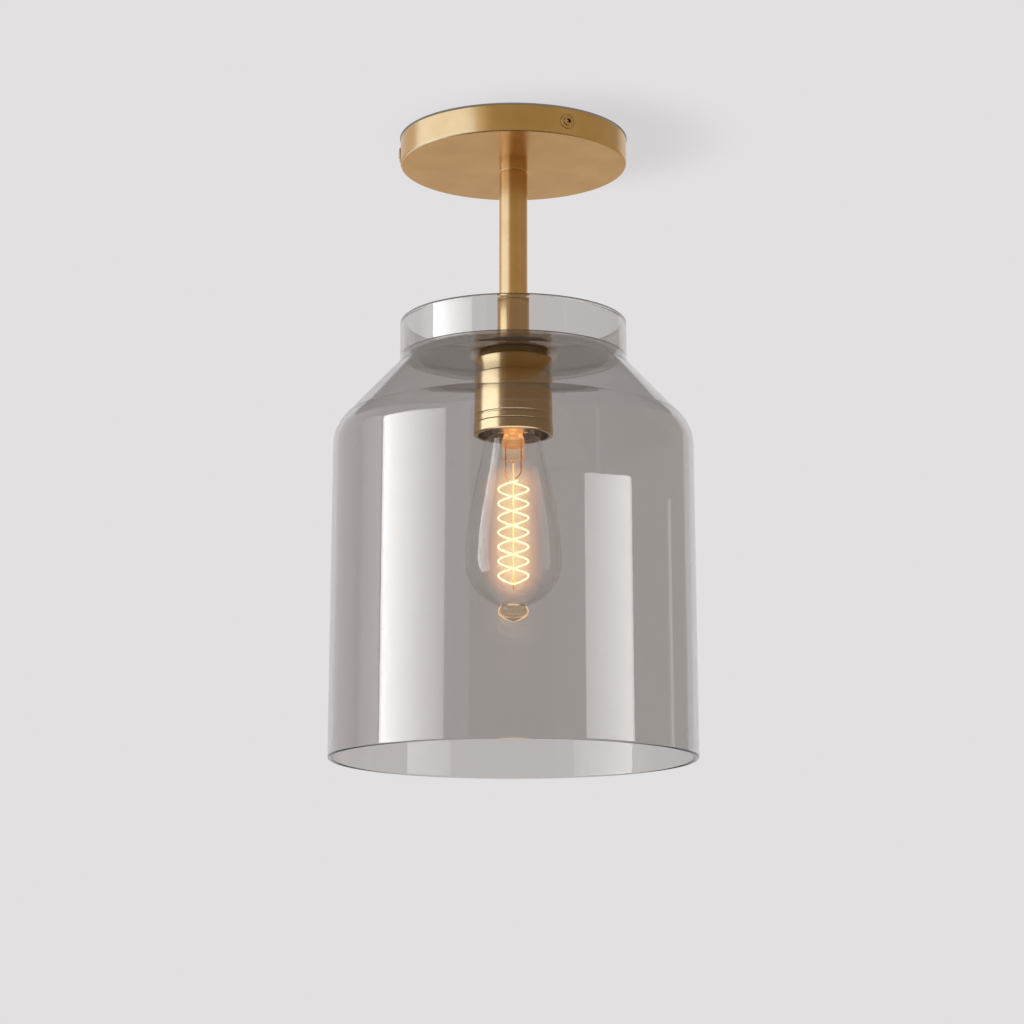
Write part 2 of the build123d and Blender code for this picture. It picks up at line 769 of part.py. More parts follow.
# Lamp glass: neck, shoulder, tapering flank that runs into a ball, and the sealed pip
bulb_r = bulb_d / 2
taper = math.radians(bulb_taper_deg)
bulb_shoulder_z = bulb_top_z - bulb_neck_l - bulb_shoulder_h
flank_drop = bulb_shoulder_z - bulb_wide_z
shoulder_r = bulb_shoulder_d / 2
flank_l = (bulb_r - shoulder_r - flank_drop * math.tan(taper / 2)) / (math.tan(taper) - math.tan(taper / 2))
flank_end = (shoulder_r + flank_l * math.tan(taper), bulb_shoulder_z - flank_l)
neck_end_z = bulb_top_z - bulb_neck_l
with BuildPart() as bulb_envelope:
    with BuildSketch(Plane.XZ):
        with BuildLine():
            flank = FilletPolyline(
                (0, bulb_top_z),
                (bulb_neck_d / 2, bulb_top_z),
                (bulb_neck_d / 2, neck_end_z),
                (shoulder_r, bulb_shoulder_z),
                flank_end,
                radius=[0, bulb_shoulder_r, bulb_shoulder_r],
            )
            cheek = TangentArc(flank @ 1, (bulb_r, bulb_wide_z), tangent=flank % 1)
            ball = TangentArc(cheek @ 1, (0, bulb_wide_z - bulb_r), tangent=(0, -1))
            Line(ball @ 1, flank @ 0)
        make_face()
    revolve(axis=Axis.Z)
    neck_opening = bulb_envelope.faces().filter_by(GeomType.PLANE).sort_by(Axis.Z)[-1]
    offset(amount=-bulb_wall, openings=neck_opening)
    pip_root_r = pip_root_d / 2
    pip_root_z = bulb_wide_z - math.sqrt((bulb_r - bulb_wall / 2) ** 2 - pip_root_r ** 2)
    pip_seat_z = bulb_wide_z - bulb_r + bulb_wall / 2
    pip_wide_z = bulb_wide_z - bulb_r - pip_wide_drop
    pip_end_z = bulb_wide_z - bulb_r - pip_h
    with BuildSketch(Plane.XZ):
        with BuildLine():
            root = Line((0, pip_seat_z), (pip_root_r, pip_root_z))
            lobe = Spline(root @ 1, (pip_d / 2, pip_wide_z), tangents=[(0.4, -1), (0, -1)])
            point = Spline(lobe @ 1, (0, pip_end_z), tangents=[(0, -1), (-1, -0.25)])
            Line(point @ 1, root @ 0)
        make_face()
    revolve(axis=Axis.Z)
bulb_envelope.part.label = "bulb_envelope"
export_step(bulb_envelope.part, "parts/bulb_envelope.step")

# Glass stem inside the lamp: hollow flare, flattened press, centre rod and its end bead
flare_r = bulb_neck_d / 2 - bulb_wall - seat_gap
flare_z = bulb_top_z - slide_gap
flare_outline = [
    (flare_r, flare_z),
    (flare_tube_d / 2, flare_z - flare_l),
    (flare_tube_d / 2, press_z - flare_wall),
    (flare_tube_d / 2 - flare_wall, press_z - flare_wall),
    (flare_tube_d / 2 - flare_wall, flare_z - flare_l),
    (flare_r - flare_wall, flare_z),
]
with BuildPart() as bulb_glass_stem:
    with BuildSketch(Plane.XZ):
        with BuildLine():
            Polyline(*flare_outline, close=True)
        make_face()
    revolve(axis=Axis.Z)
    with BuildSketch(Plane.XY.offset(press_z)):
        RectangleRounded(press_w, press_t, press_edge_r)
    extrude(amount=-press_l)
    with BuildSketch(Plane.XY.offset(press_end_z)):
        Circle(rod_d / 2)
    extrude(amount=-rod_l)
    with Locations((0, 0, rod_end_z)):
        Sphere(rod_bead_d / 2)
bulb_glass_stem.part.label = "bulb_glass_stem"
export_step(bulb_glass_stem.part, "parts/bulb_glass_stem.step")

# Filament: two right-hand strands wound half a turn apart, joined by a bend under the rod
helix_climb = filament_pitch / (2 * math.pi)
helix_slope = math.hypot(filament_r, helix_climb)


def strand_point(turn):
    """Point and downward direction on the first strand, counted in turns from its front start."""
    angle = math.radians(-90) - 2 * math.pi * turn
    place = Vector(math.cos(angle), math.sin(angle), 0) * filament_r
    place += Vector(0, 0, filament_z - turn * filament_pitch)
    heading = Vector(math.sin(angle), -math.cos(angle), 0) * filament_r - Vector(0, 0, helix_climb)
    return place, heading / helix_slope


def biarc_middle(start, start_way, end, end_way):
    """Point where two arcs meet that leave a start one way and reach an end another way."""
    span = end - start
    ways = start_way + end_way
    spread = 2 * (1 - start_way.dot(end_way))
    along = span.dot(ways)
    reach = (math.sqrt(along ** 2 + spread * span.dot(span)) - along) / spread
    return (start + end + (start_way - end_way) * reach) / 2


quarter_count = 4 * filament_turns + 1
stops = [strand_point(quarter / 4) for quarter in range(quarter_count + 1)]
bend = Vector(0, 0, stops[-1][0].Z - filament_bend_drop)
bend_way = Vector(1, 0, 0)
half_turn = Axis.Z
down_stops = stops + [(bend, bend_way)]
up_stops = [(place.rotate(half_turn, 180), -way.rotate(half_turn, 180)) for place, way in reversed(stops)]
all_stops = down_stops + up_stops
first_end = all_stops[0][0] - all_stops[0][1] * filament_wire_d
last_end = all_stops[-1][0] + all_stops[-1][1] * filament_wire_d
with BuildPart() as filament:
    with BuildLine() as winding:
        Line(first_end, all_stops[0][0])
        for (start, start_way), (end, end_way) in zip(all_stops, all_stops[1:]):
            middle = biarc_middle(start, start_way, end, end_way)
            first_arc = TangentArc(start, middle, tangent=start_way)
            TangentArc(middle, end, tangent=first_arc % 1)
        Line(all_stops[-1][0], last_end)
    with BuildSketch(Plane(origin=first_end, z_dir=all_stops[0][1])):
        Circle(filament_wire_d / 2)
    sweep(path=winding.line)
filament.part.label = "filament"
export_step(filament.part, "parts/filament.step")

# Least gap of the filament to itself, on points along its centre line
winding_path = winding.wire()
winding_l = winding_path.length
sample_count = 600
samples = [winding_path @ (i / sample_count) for i in range(sample_count + 1)]
apart = int(sample_count * 6 * filament_wire_d / winding_l)
least = min(
    (samples[i] - samples[j]).length for i in range(sample_count) for j in range(i + apart, sample_count + 1)
)
swept = math.pi * filament_wire_d ** 2 / 4 * winding_l
print(f"filament length {winding_l:.1f}, least gap to itself {least - filament_wire_d:.2f}")
print(f"filament volume {filament.part.volume:.2f}, section times length {swept:.2f}")

# Lead wires from the press to the two ends of the filament
lead_end = first_end - all_stops[0][1] * lead_gap
lead_points = [
    Vector(lead_x, 0, press_end_z),
    Vector(lead_x, 0, press_end_z - lead_stub),
    lead_end - all_stops[0][1] * (lead_turn_x - lead_end.X),
    lead_end,
]
with BuildPart() as bulb_lead_wires:
    with BuildLine() as lead:
        FilletPolyline(*lead_points, radius=lead_bend_r)
    with BuildSketch(Plane.XY.offset(press_end_z)):
        with Locations((lead_x, 0)):
            Circle(lead_d / 2)
    sweep(path=lead.line)
    add(bulb_lead_wires.part.rotate(Axis.Z, 180))
bulb_lead_wires.part.label = "bulb_lead_wires"
export_step(bulb_lead_wires.part, "parts/bulb_lead_wires.step")

# Hook at the rod's end that steadies the filament's lower bend
hook_y = rod_bead_d / 2 + hook_d / 2 + slide_gap
hook_z = bend.Z - filament_wire_d / 2 - hook_gap - hook_d / 2
hook_points = [
    (0, hook_y, hook_z + hook_above),
    (0, hook_y, hook_z),
    (0, -hook_y, hook_z),
]
filament_hook = tube_along(hook_points, [hook_bend_r], hook_d)
filament_hook.label = "filament_hook"
export_step(filament_hook, "parts/filament_hook.step")
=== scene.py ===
import json
import math

import bpy
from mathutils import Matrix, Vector

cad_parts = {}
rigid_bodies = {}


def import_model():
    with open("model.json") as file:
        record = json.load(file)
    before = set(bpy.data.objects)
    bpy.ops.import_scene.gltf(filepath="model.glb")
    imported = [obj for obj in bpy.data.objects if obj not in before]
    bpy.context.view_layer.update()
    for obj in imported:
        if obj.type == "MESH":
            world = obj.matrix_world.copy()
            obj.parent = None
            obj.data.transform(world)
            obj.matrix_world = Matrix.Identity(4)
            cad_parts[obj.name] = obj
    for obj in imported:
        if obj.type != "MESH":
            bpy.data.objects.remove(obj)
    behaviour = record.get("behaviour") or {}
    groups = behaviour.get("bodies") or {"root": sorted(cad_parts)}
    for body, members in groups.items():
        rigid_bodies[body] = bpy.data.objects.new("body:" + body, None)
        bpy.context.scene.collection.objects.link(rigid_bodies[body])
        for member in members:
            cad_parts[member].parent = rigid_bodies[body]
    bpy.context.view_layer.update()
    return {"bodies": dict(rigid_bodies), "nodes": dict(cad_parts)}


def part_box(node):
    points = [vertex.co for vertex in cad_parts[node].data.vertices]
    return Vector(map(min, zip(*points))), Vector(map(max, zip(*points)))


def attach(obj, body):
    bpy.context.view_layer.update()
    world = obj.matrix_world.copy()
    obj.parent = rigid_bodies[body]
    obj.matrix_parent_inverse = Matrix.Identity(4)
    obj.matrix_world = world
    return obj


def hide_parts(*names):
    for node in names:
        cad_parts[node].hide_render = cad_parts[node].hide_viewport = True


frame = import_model()

# Semi-flush ceiling light: brass canopy and stem, smoked glass jar and one lit filament lamp.
# The ceiling is z = 0 and the front faces -Y. Outlines are in millimetres, objects in metres.
MM = 0.001
AROUND = 224
ARC_STEP = math.radians(7)
SHARP = math.radians(32)
# a straight run longer than this gets a point this far from each end
LONG_RUN = 4.0
SUPPORT = 0.3
# the glass floor is dark between these radii, and turns pale over these widths
FLOOR_CORE = 28.0
FLOOR_CORE_FADE = 3.0
FLOOR_EDGE = 63.3
FLOOR_EDGE_FADE = 1.5
# the lamp's glass press has a painted orange glow above the first of these heights and is clear below the
# second
LAMP_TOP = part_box("bulb_envelope")[1].z / MM
PRESS_LIT_Z = LAMP_TOP - 12.0
PRESS_CLEAR_Z = LAMP_TOP - 28.0


# Shared tools


def linear(colour):
    """Linear RGBA of an sRGB hex colour."""
    channels = [int(colour[i:i + 2], 16) / 255 for i in (1, 3, 5)]
    return [c / 12.92 if c <= 0.04045 else ((c + 0.055) / 1.055) ** 2.4 for c in channels] + [1.0]


def add(tree, kind, inputs=None, **settings):
    """One node with its settings; each input is a value or the socket that feeds it."""
    made = tree.nodes.new(kind)
    for name, value in settings.items():
        setattr(made, name, value)
    for socket, value in (inputs or {}).items():
        if isinstance(value, bpy.types.NodeSocket):
            tree.links.new(value, made.inputs[socket])
        else:
            made.inputs[socket].default_value = value
    return made


def start_material(name):
    """A named material, its node tree and its main shader."""
    made = bpy.data.materials.new(name)
    made.use_nodes = True
    return made, made.node_tree, made.node_tree.nodes["Principled BSDF"]


def feed(tree, shader, **sockets):
    """Set or link sockets of a shader, named with _ for each space."""
    for name, value in sockets.items():
        socket = shader.inputs[name.replace("_", " ")]
        if isinstance(value, bpy.types.NodeSocket):
            tree.links.new(value, socket)
        else:
            socket.default_value = value


def rounded(corners):
    """Closed outline of (radius, height) points from corners that also hold a rounding."""
    outline = []
    for index, (r, z, rounding) in enumerate(corners):
        corner = Vector((r, z))
        back = Vector(corners[index - 1][:2]) - corner
        ahead = Vector(corners[(index + 1) % len(corners)][:2]) - corner
        if not rounding:
            outline.append((r, z))
            continue
        back.normalize()
        ahead.normalize()
        half = back.angle(ahead) / 2
        centre = corner + (back + ahead).normalized() * rounding / math.sin(half)
        first = corner + back * rounding / math.tan(half) - centre
        last = corner + ahead * rounding / math.tan(half) - centre
        turn = first.angle_signed(last)
        steps = max(2, math.ceil(abs(turn) / ARC_STEP))
        for step in range(steps + 1):
            angle = math.atan2(first.y, first.x) - turn * step / steps
            outline.append((centre.x + rounding * math.cos(angle), centre.y + rounding * math.sin(angle)))
    return outline


def arc(centre, radius, start, end):
    """Points on an arc about a centre, from one angle to another in degrees."""
    steps = max(2, math.ceil(abs(math.radians(end - start)) / ARC_STEP))
    angles = [math.radians(start + (end - start) * step / steps) for step in range(steps + 1)]
    return [(centre[0] + radius * math.cos(a), centre[1] + radius * math.sin(a)) for a in angles]


def bend(start, start_pull, end_pull, end, steps=12):
    """Points on a cubic curve between two ends and their two handles."""
    points = []
    for step in range(steps + 1):
        t = step / steps
        weights = ((1 - t) ** 3, 3 * t * (1 - t) ** 2, 3 * t * t * (1 - t), t ** 3)
        points.append(tuple(
            sum(w * p[axis] for w, p in zip(weights, (start, start_pull, end_pull, end)))
            for axis in range(len(start))
        ))
    return points


def ring_mesh(name, rings, closed):
    """Mesh through rings of points in millimetres; a ring of one point closes an end."""
    points, faces, firsts = [], [], []
    for ring in rings:
        firsts.append(len(points))
        points += [Vector(p) * MM for p in ring]
    pairs = list(zip(range(len(rings)), range(1, len(rings))))
    if closed:
        pairs.append((len(rings) - 1, 0))
    for a, b in pairs:
        count = max(len(rings[a]), len(rings[b]))
        if count == 1:
            continue
        for i in range(count):
            j = (i + 1) % count
            upper = [firsts[a]] if len(rings[a]) == 1 else [firsts[a] + i, firsts[a] + j]
            lower = [firsts[b]] if len(rings[b]) == 1 else [firsts[b] + j, firsts[b] + i]
            faces.append(upper + lower)
    mesh = bpy.data.meshes.new(name)
    mesh.from_pydata(points, [], faces)
    mesh.update()
    mesh.shade_smooth()
    mesh.set_sharp_from_angle(angle=SHARP)
    return mesh


def place(name, mesh, material, body, nodes):
    """Put a piece in the scene on its body, in place of the CAD nodes that it stands for."""
    piece = bpy.data.objects.new(name, mesh)
    bpy.context.scene.collection.objects.link(piece)
    mesh.materials.append(material)
    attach(piece, body)
    if nodes:
        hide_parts(*nodes)
    return piece


def supported(outline):
    """The outline with a point beside each end of its long straight runs, so that they shade flat."""
    points = []
    for start, end in zip(outline, outline[1:] + outline[:1]):
        points.append(start)
        length = math.dist(start, end)
        if length > LONG_RUN:
            for share in (SUPPORT / length, 1 - SUPPORT / length):
                points.append(tuple(a + (b - a) * share for a, b in zip(start, end)))
    return points


def turn(outline, around=AROUND):
    """Rings of a closed outline turned round the Z axis, in the order that faces outwards."""
    ahead = outline[1:] + outline[:1]
    area = sum(a[0] * b[1] - b[0] * a[1] for a, b in zip(outline, ahead))
    outline = supported(outline[::-1] if area < 0 else outline)
    angles = [2 * math.pi * i / around for i in range(around)]
    rings = []
    for r, z in outline:
        spot = [(0, 0, z)]
        rings.append(spot if r < 1e-6 else [(r * math.cos(a), r * math.sin(a), z) for a in angles])
    return rings


def turned(node, outline, material, body="fixture"):
    """Turn a closed outline round the Z axis in place of a CAD node."""
    name = f"{node}_turned"
    return place(name, ring_mesh(name, turn(outline), True), material, body, [node])


def wire(name, points, diameter, material, body, nodes):
    """Round wire along points in millimetres."""
    curve = bpy.data.curves.new(name, "CURVE")
    curve.dimensions = "3D"
    curve.bevel_depth = diameter / 2 * MM
    curve.bevel_resolution = 5
    curve.use_fill_caps = True
    spline = curve.splines.new("POLY")
    spline.points.add(len(points) - 1)
    for spot, point in zip(spline.points, points):
        spot.co = (*(Vector(point) * MM), 1)
    return place(name, curve, material, body, nodes)


def reach(node):
    """Outer radius, top and bottom of a turned CAD node, in millimetres."""
    low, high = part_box(node)
    return (high.x - low.x) / 2 / MM, high.z / MM, low.z / MM


# Materials


def off_axis(tree, spot):
    """Distance of a spot from the Z axis."""
    flat = add(tree, "ShaderNodeVectorMath", {0: spot, 1: (1, 1, 0)}, operation="MULTIPLY")
    return add(tree, "ShaderNodeVectorMath", {0: flat.outputs[0]}, operation="LENGTH").outputs["Value"]


def lathe_grain(tree, spacing):
    """Noise drawn out round the Z axis, as the tool leaves it on turned metal."""
    spot = add(tree, "ShaderNodeTexCoord").outputs["Object"]
    axes = add(tree, "ShaderNodeSeparateXYZ", {0: spot})
    angle = add(tree, "ShaderNodeMath", {0: axes.outputs["Y"], 1: axes.outputs["X"]}, operation="ARCTAN2")
    drawn = add(tree, "ShaderNodeMath", {0: angle.outputs[0], 1: 2 * MM}, operation="MULTIPLY")
    lathe = add(tree, "ShaderNodeCombineXYZ", {
        "X": off_axis(tree, spot), "Y": axes.outputs["Z"], "Z": drawn.outputs[0]})
    noise = add(tree, "ShaderNodeTexNoise", {
        "Vector": lathe.outputs[0], "Scale": 1 / (spacing * MM), "Detail": 3.0, "Roughness": 0.6})
    return noise.outputs["Fac"]


def cloud(tree, size, detail=3.0):
    """Soft noise whose blotches are about a size in millimetres."""
    spot = add(tree, "ShaderNodeTexCoord").outputs["Object"]
    return add(tree, "ShaderNodeTexNoise", {
        "Vector": spot, "Scale": 1 / (size * MM), "Detail": detail, "Roughness": 0.55}).outputs["Fac"]


def between(tree, factor, low, high):
    """Colour between two hex colours by a factor's middle range."""
    ramp = add(tree, "ShaderNodeValToRGB", {"Fac": factor})
    ramp.color_ramp.elements[0].position = 0.32
    ramp.color_ramp.elements[0].color = linear(low)
    ramp.color_ramp.elements[1].position = 0.68
    ramp.color_ramp.elements[1].color = linear(high)
    return ramp.outputs["Color"]


def spread(tree, factor, low, high):
    """Number between low and high by a factor's middle range."""
    return add(tree, "ShaderNodeMapRange", {
        "Value": factor, "From Min": 0.3, "From Max": 0.7, "To Min": low, "To Max": high}).outputs["Result"]


def bumped(tree, height, depth, strength=1.0):
    """Normal of a surface whose relief is a depth in millimetres."""
    return add(tree, "ShaderNodeBump", {
        "Height": height, "Distance": depth * MM, "Strength": strength}).outputs["Normal"]


def lacquered_brass():
    """Turned brass under clear satin lacquer: soft warm mirror with faint rings left by the tool."""
    made, tree, shader = start_material("lacquered turned brass")
    # real tool rings are about 0.15 mm apart, drawn at 0.5 mm so that they can show up close
    rings = lathe_grain(tree, 0.5)
    feed(tree, shader, Metallic=1.0,
         Base_Color=between(tree, cloud(tree, 26), "#CD9F5E", "#D7AB6A"),
         Roughness=spread(tree, rings, 0.23, 0.26),
         Normal=bumped(tree, rings, 0.0003))
    return made


def raw_brass():
    """Bare machined brass on nuts and threaded tubes: yellower, dulled by handling."""
    made, tree, shader = start_material("bare machined brass")
    rings = lathe_grain(tree, 0.4)
    feed(tree, shader, Metallic=1.0,
         Base_Color=between(tree, cloud(tree, 5), "#A9853F", "#D0AE62"),
         Roughness=spread(tree, rings, 0.3, 0.46),
         Normal=bumped(tree, rings, 0.03))
    return made


def smoked_glass():
    """Blown glass with grey smoke in it, darker in the floor: clean mirror skin with slow mould waves."""
    made, tree, shader = start_material("smoked blown glass")
    radius = off_axis(tree, add(tree, "ShaderNodeTexCoord").outputs["Object"])
    wall = add(tree, "ShaderNodeMapRange", {
        "Value": radius, "From Min": FLOOR_EDGE * MM, "From Max": (FLOOR_EDGE + FLOOR_EDGE_FADE) * MM})
    core = add(tree, "ShaderNodeMapRange", {
        "Value": radius, "From Min": (FLOOR_CORE + FLOOR_CORE_FADE) * MM, "From Max": FLOOR_CORE * MM})
    pale = add(tree, "ShaderNodeMath", {
        0: wall.outputs["Result"], 1: core.outputs["Result"]}, operation="MAXIMUM")
    feed(tree, shader, Base_Color=between(tree, pale.outputs[0], "#ABA5A2", "#D3D0CE"),
         Roughness=0.0, IOR=1.5, Transmission_Weight=1.0,
         Normal=bumped(tree, cloud(tree, 60, 1.0), 0.01))
    return made


def lamp_glass():
    """Thin clear lamp glass with slow waves from blowing."""
    made, tree, shader = start_material("clear lamp glass")
    feed(tree, shader, Base_Color=linear("#FBFBFA"), Roughness=0.0, IOR=1.48, Transmission_Weight=1.0,
         Normal=bumped(tree, cloud(tree, 25, 1.0), 0.2, 0.15))
    return made


def plain_metal(name, low, high, rough, grain):
    """Plated or painted metal with small blotches of tone and gloss."""
    made, tree, shader = start_material(name)
    blotch = cloud(tree, grain)
    feed(tree, shader, Metallic=1.0, Base_Color=between(tree, blotch, low, high),
         Roughness=spread(tree, blotch, rough - 0.07, rough + 0.07),
         Normal=bumped(tree, cloud(tree, 0.8), 0.02))
    return made


def moulded(name, low, high, rough, grain, ior=1.5):
    """Moulded, glazed or extruded stuff that isn't metal, with a faint skin texture."""
    made, tree, shader = start_material(name)
    blotch = cloud(tree, grain)
    feed(tree, shader, Base_Color=between(tree, blotch, low, high), IOR=ior,
         Roughness=spread(tree, blotch, rough - 0.06, rough + 0.06),
         Normal=bumped(tree, cloud(tree, 0.6), 0.03))
    return made


def glowing_filament():
    """Carbon-style wire at dull white heat, a little hotter in patches along its length."""
    made, tree, shader = start_material("lit filament wire")
    feed(tree, shader, Base_Color=linear("#2A1608"), Roughness=0.6, Emission_Color=linear("#FFEBC0"),
         Emission_Strength=spread(tree, cloud(tree, 4), 2.0, 2.8))
    return made


def lit_rod():
    """Thin drawn glass rod with a painted warm glow along it, showing as a fine warm line."""
    made, tree, shader = start_material("lit glass rod")
    feed(tree, shader, Base_Color=linear("#FFF3DC"), IOR=1.48, Transmission_Weight=1.0,
         Roughness=spread(tree, cloud(tree, 3), 0.02, 0.08),
         Emission_Color=between(tree, cloud(tree, 6), "#FFC878", "#FFE3AC"), Emission_Strength=0.4)
    return made


def lit_press():
    """Pressed glass with a painted orange glow where it enters the socket, standing in for the light there,
    and clear further down.
    """
    made, tree, shader = start_material("lit press glass")
    axes = add(tree, "ShaderNodeSeparateXYZ", {0: add(tree, "ShaderNodeTexCoord").outputs["Object"]})
    feed(tree, shader, Base_Color=linear("#FFF3E0"), IOR=1.48, Transmission_Weight=1.0,
         Roughness=spread(tree, cloud(tree, 2), 0.0, 0.05), Emission_Color=linear("#FFB064"),
         Emission_Strength=add(tree, "ShaderNodeMapRange", {
             "Value": axes.outputs["Z"], "From Min": PRESS_CLEAR_Z * MM, "From Max": PRESS_LIT_Z * MM,
             "To Max": 0.42}).outputs["Result"])
    return made


def lit_pip():
    """Sealed-off glass tip with painted gold glow lines along its edges, where the filament's light would
    gather.
    """
    made, tree, shader = start_material("lit glass pip")
    edge = add(tree, "ShaderNodeLayerWeight", {"Blend": 0.35}).outputs["Facing"]
    feed(tree, shader, Base_Color=linear("#FFF6E6"), IOR=1.48, Transmission_Weight=1.0,
         Roughness=spread(tree, cloud(tree, 3), 0.0, 0.04), Emission_Color=linear("#FFB860"),
         Emission_Strength=add(tree, "ShaderNodeMapRange", {
             "Value": edge, "From Min": 0.5, "From Max": 0.95, "To Max": 3.0}).outputs["Result"])
    return made


brass = lacquered_brass()
bare_brass = raw_brass()
shade_glass = smoked_glass()
clear_glass = lamp_glass()
glow = glowing_filament()
rod_glass = lit_rod()
press_glass = lit_press()
pip_glass = lit_pip()
zinc = plain_metal("zinc plated steel", "#9DA0A3", "#C3C6C8", 0.34, 9)
green_steel = plain_metal("green plated steel", "#1E5A38", "#2F7A4C", 0.4, 3)
tarnish_and_socket_shade = plain_metal("tarnished brass with painted socket shade", "#24180D", "#3D2A17", 0.5, 1.5)
cap_metal = plain_metal("nickel plated lamp cap", "#B4B1A8", "#D2CFC6", 0.3, 4)
lead_metal = plain_metal("copper clad lead wire", "#C9824A", "#E3A66C", 0.3, 2)
porcelain = moulded("glazed porcelain", "#E6E1D6", "#F4F0E8", 0.16, 7)
rubber = moulded("amber gasket rubber", "#DDB67C", "#EBC68F", 0.5, 3)
black_skin = moulded("black wire insulation", "#141414", "#222222", 0.42, 6)
white_skin = moulded("white wire insulation", "#DAD8D2", "#EEECE7", 0.42, 6)
green_skin = moulded("green wire insulation", "#14602F", "#1F7A3F", 0.42, 6)
nut_shell = moulded("orange wire nut shell", "#B4571A", "#D06C26", 0.48, 4)
lamp_black = moulded("black lamp insulator glass", "#0D0D10", "#1C1C20", 0.2, 3)

node_finish = {
    "mounting_plate": zinc, "lock_washer": zinc, "lampholder_strap": zinc, "strap_screws": zinc,
    "ground_screw": green_steel,
    "upper_nipple": bare_brass, "lower_nipple": bare_brass, "canopy_nut": bare_brass,
    "socket_nut": bare_brass, "screw_shell": bare_brass, "center_contact": bare_brass,
    "terminal_screws": bare_brass,
    "lampholder_body": porcelain,
    "wire_live": black_skin, "wire_neutral": white_skin, "ground_wire": green_skin,
    "wire_nut_live": nut_shell, "wire_nut_neutral": nut_shell, "wire_nut_ground": nut_shell,
    "bulb_insulator": lamp_black, "bulb_tip_contact": cap_metal,
}
for node, finish in node_finish.items():
    mesh = frame["nodes"][node].data
    mesh.materials.clear()
    mesh.materials.append(finish)


# Brass canopy, stem and clamp

SEAM = 0.5
seam_gap = 0.9
seam_depth = 0.8
canopy_r, canopy_top, canopy_z = reach("canopy")
canopy_wall = 1.2
canopy_edge = 1.6
stem_hole = 5.2
# the wall is chamfered at the ceiling, and the ceiling film's painted contact shade shows there as a thin
# dark line
ceiling_line = 0.9
turned("canopy", rounded([
    (canopy_r - ceiling_line, canopy_top, 0),
    (canopy_r, canopy_top - ceiling_line, 0.1),
    (canopy_r, canopy_z, canopy_edge),
    (stem_hole, canopy_z, 0),
    (stem_hole, canopy_z + canopy_wall, 0),
    (canopy_r - canopy_wall, canopy_z + canopy_wall, canopy_edge / 2),
    (canopy_r - canopy_wall, canopy_top, 0),
]), brass)

stem_r, stem_z, stem_end = reach("stem_tube")
stem_bore = stem_r - 1.5
collar_bore = stem_bore - 0.1
collar_end = reach("stem_collar")[2]
turned("stem_collar", rounded([
    (stem_r, canopy_z, 0),
    (stem_r, stem_z, SEAM),
    (collar_bore, stem_z, 0),
    (collar_bore, collar_end, 0),
    (stem_hole, collar_end, 0),
    (stem_hole, canopy_z, 0),
]), brass)

turned("stem_tube", rounded([
    (stem_r - seam_depth, stem_z, 0),
    (stem_r - seam_depth, stem_z - seam_gap, 0),
    (stem_r, stem_z - seam_gap, SEAM),
    (stem_r, stem_end, 0),
    (stem_bore, stem_end, 0),
    (stem_bore, stem_z, 0),
]), brass)

# the sleeve is drawn a little higher than its solid, where the photo shows the ring at its top
sleeve_rise = 2.6
sleeve_r, sleeve_solid_z, sleeve_end = reach("coupling_sleeve")
sleeve_z = sleeve_solid_z + sleeve_rise
sleeve_edge = 0.3
groove_top = sleeve_z - 3.4
groove_low = groove_top - 1.0
groove_depth = 0.7
turned("coupling_sleeve", rounded([
    (sleeve_r, sleeve_z, 0.4),
    (sleeve_r, groove_top, sleeve_edge),
    (sleeve_r - groove_depth, groove_top, 0),
    (sleeve_r - groove_depth, groove_low, 0),
    (sleeve_r, groove_low, sleeve_edge),
    (sleeve_r, sleeve_end, sleeve_edge),
    (stem_hole, sleeve_end, 0),
    (stem_hole, stem_end, 0),
    (stem_r, stem_end, 0),
    (stem_r, sleeve_z, 0.2),
]), brass)

disc_r, disc_z, disc_end = reach("clamp_disc")
disc_edge = 0.7
turned("clamp_disc", rounded([
    (disc_r, disc_z, disc_edge),
    (disc_r, disc_end, disc_edge),
    (stem_hole, disc_end, 0),
    (stem_hole, disc_z, 0),
]), brass)


# Side screws: button heads with a drilled six-sided socket, each on a cup washer with a raised rim

SCREW_AROUND = 72
head_r = 2.9
head_h = 1.0
head_edge = 0.35
boss_r = 2.1
boss_h = 0.55
boss_edge = 0.25
key_r = 1.45
key_depth = 1.7
key_edge_w = 0.15
key_edge_h = 0.12
drill_point = 0.7
shank_r = 1.95
thread_pitch = 0.7
thread_depth = 0.3
thread_start = 0.3
thread_spare = 1.0
washer_r = 5.2
washer_hole = shank_r + 0.2
washer_edge = 0.45
washer_rim = 1.0
washer_proud = 0.35
washer_land = 0.1


def six_sided(ring):
    """A round ring pressed to six flats."""
    pressed = []
    for x, y, z in ring:
        flat = math.cos(math.pi / 6) / math.cos(math.atan2(y, x) % (math.pi / 3) - math.pi / 6)
        pressed.append((x * flat, y * flat, z))
    return pressed


def aimed(rings, outward, height):
    """Rings made round the Z axis, laid along a level direction at a height."""
    side = Vector((-outward.y, outward.x, 0))
    return [[side * x + outward * z + Vector((0, 0, height + y)) for x, y, z in ring] for ring in rings]


def along(node, outward):
    """Nearest and farthest reach of a CAD node along a direction, in millimetres."""
    reaches = [vertex.co.dot(outward) / MM for vertex in frame["nodes"][node].data.vertices]
    return min(reaches), max(reaches)


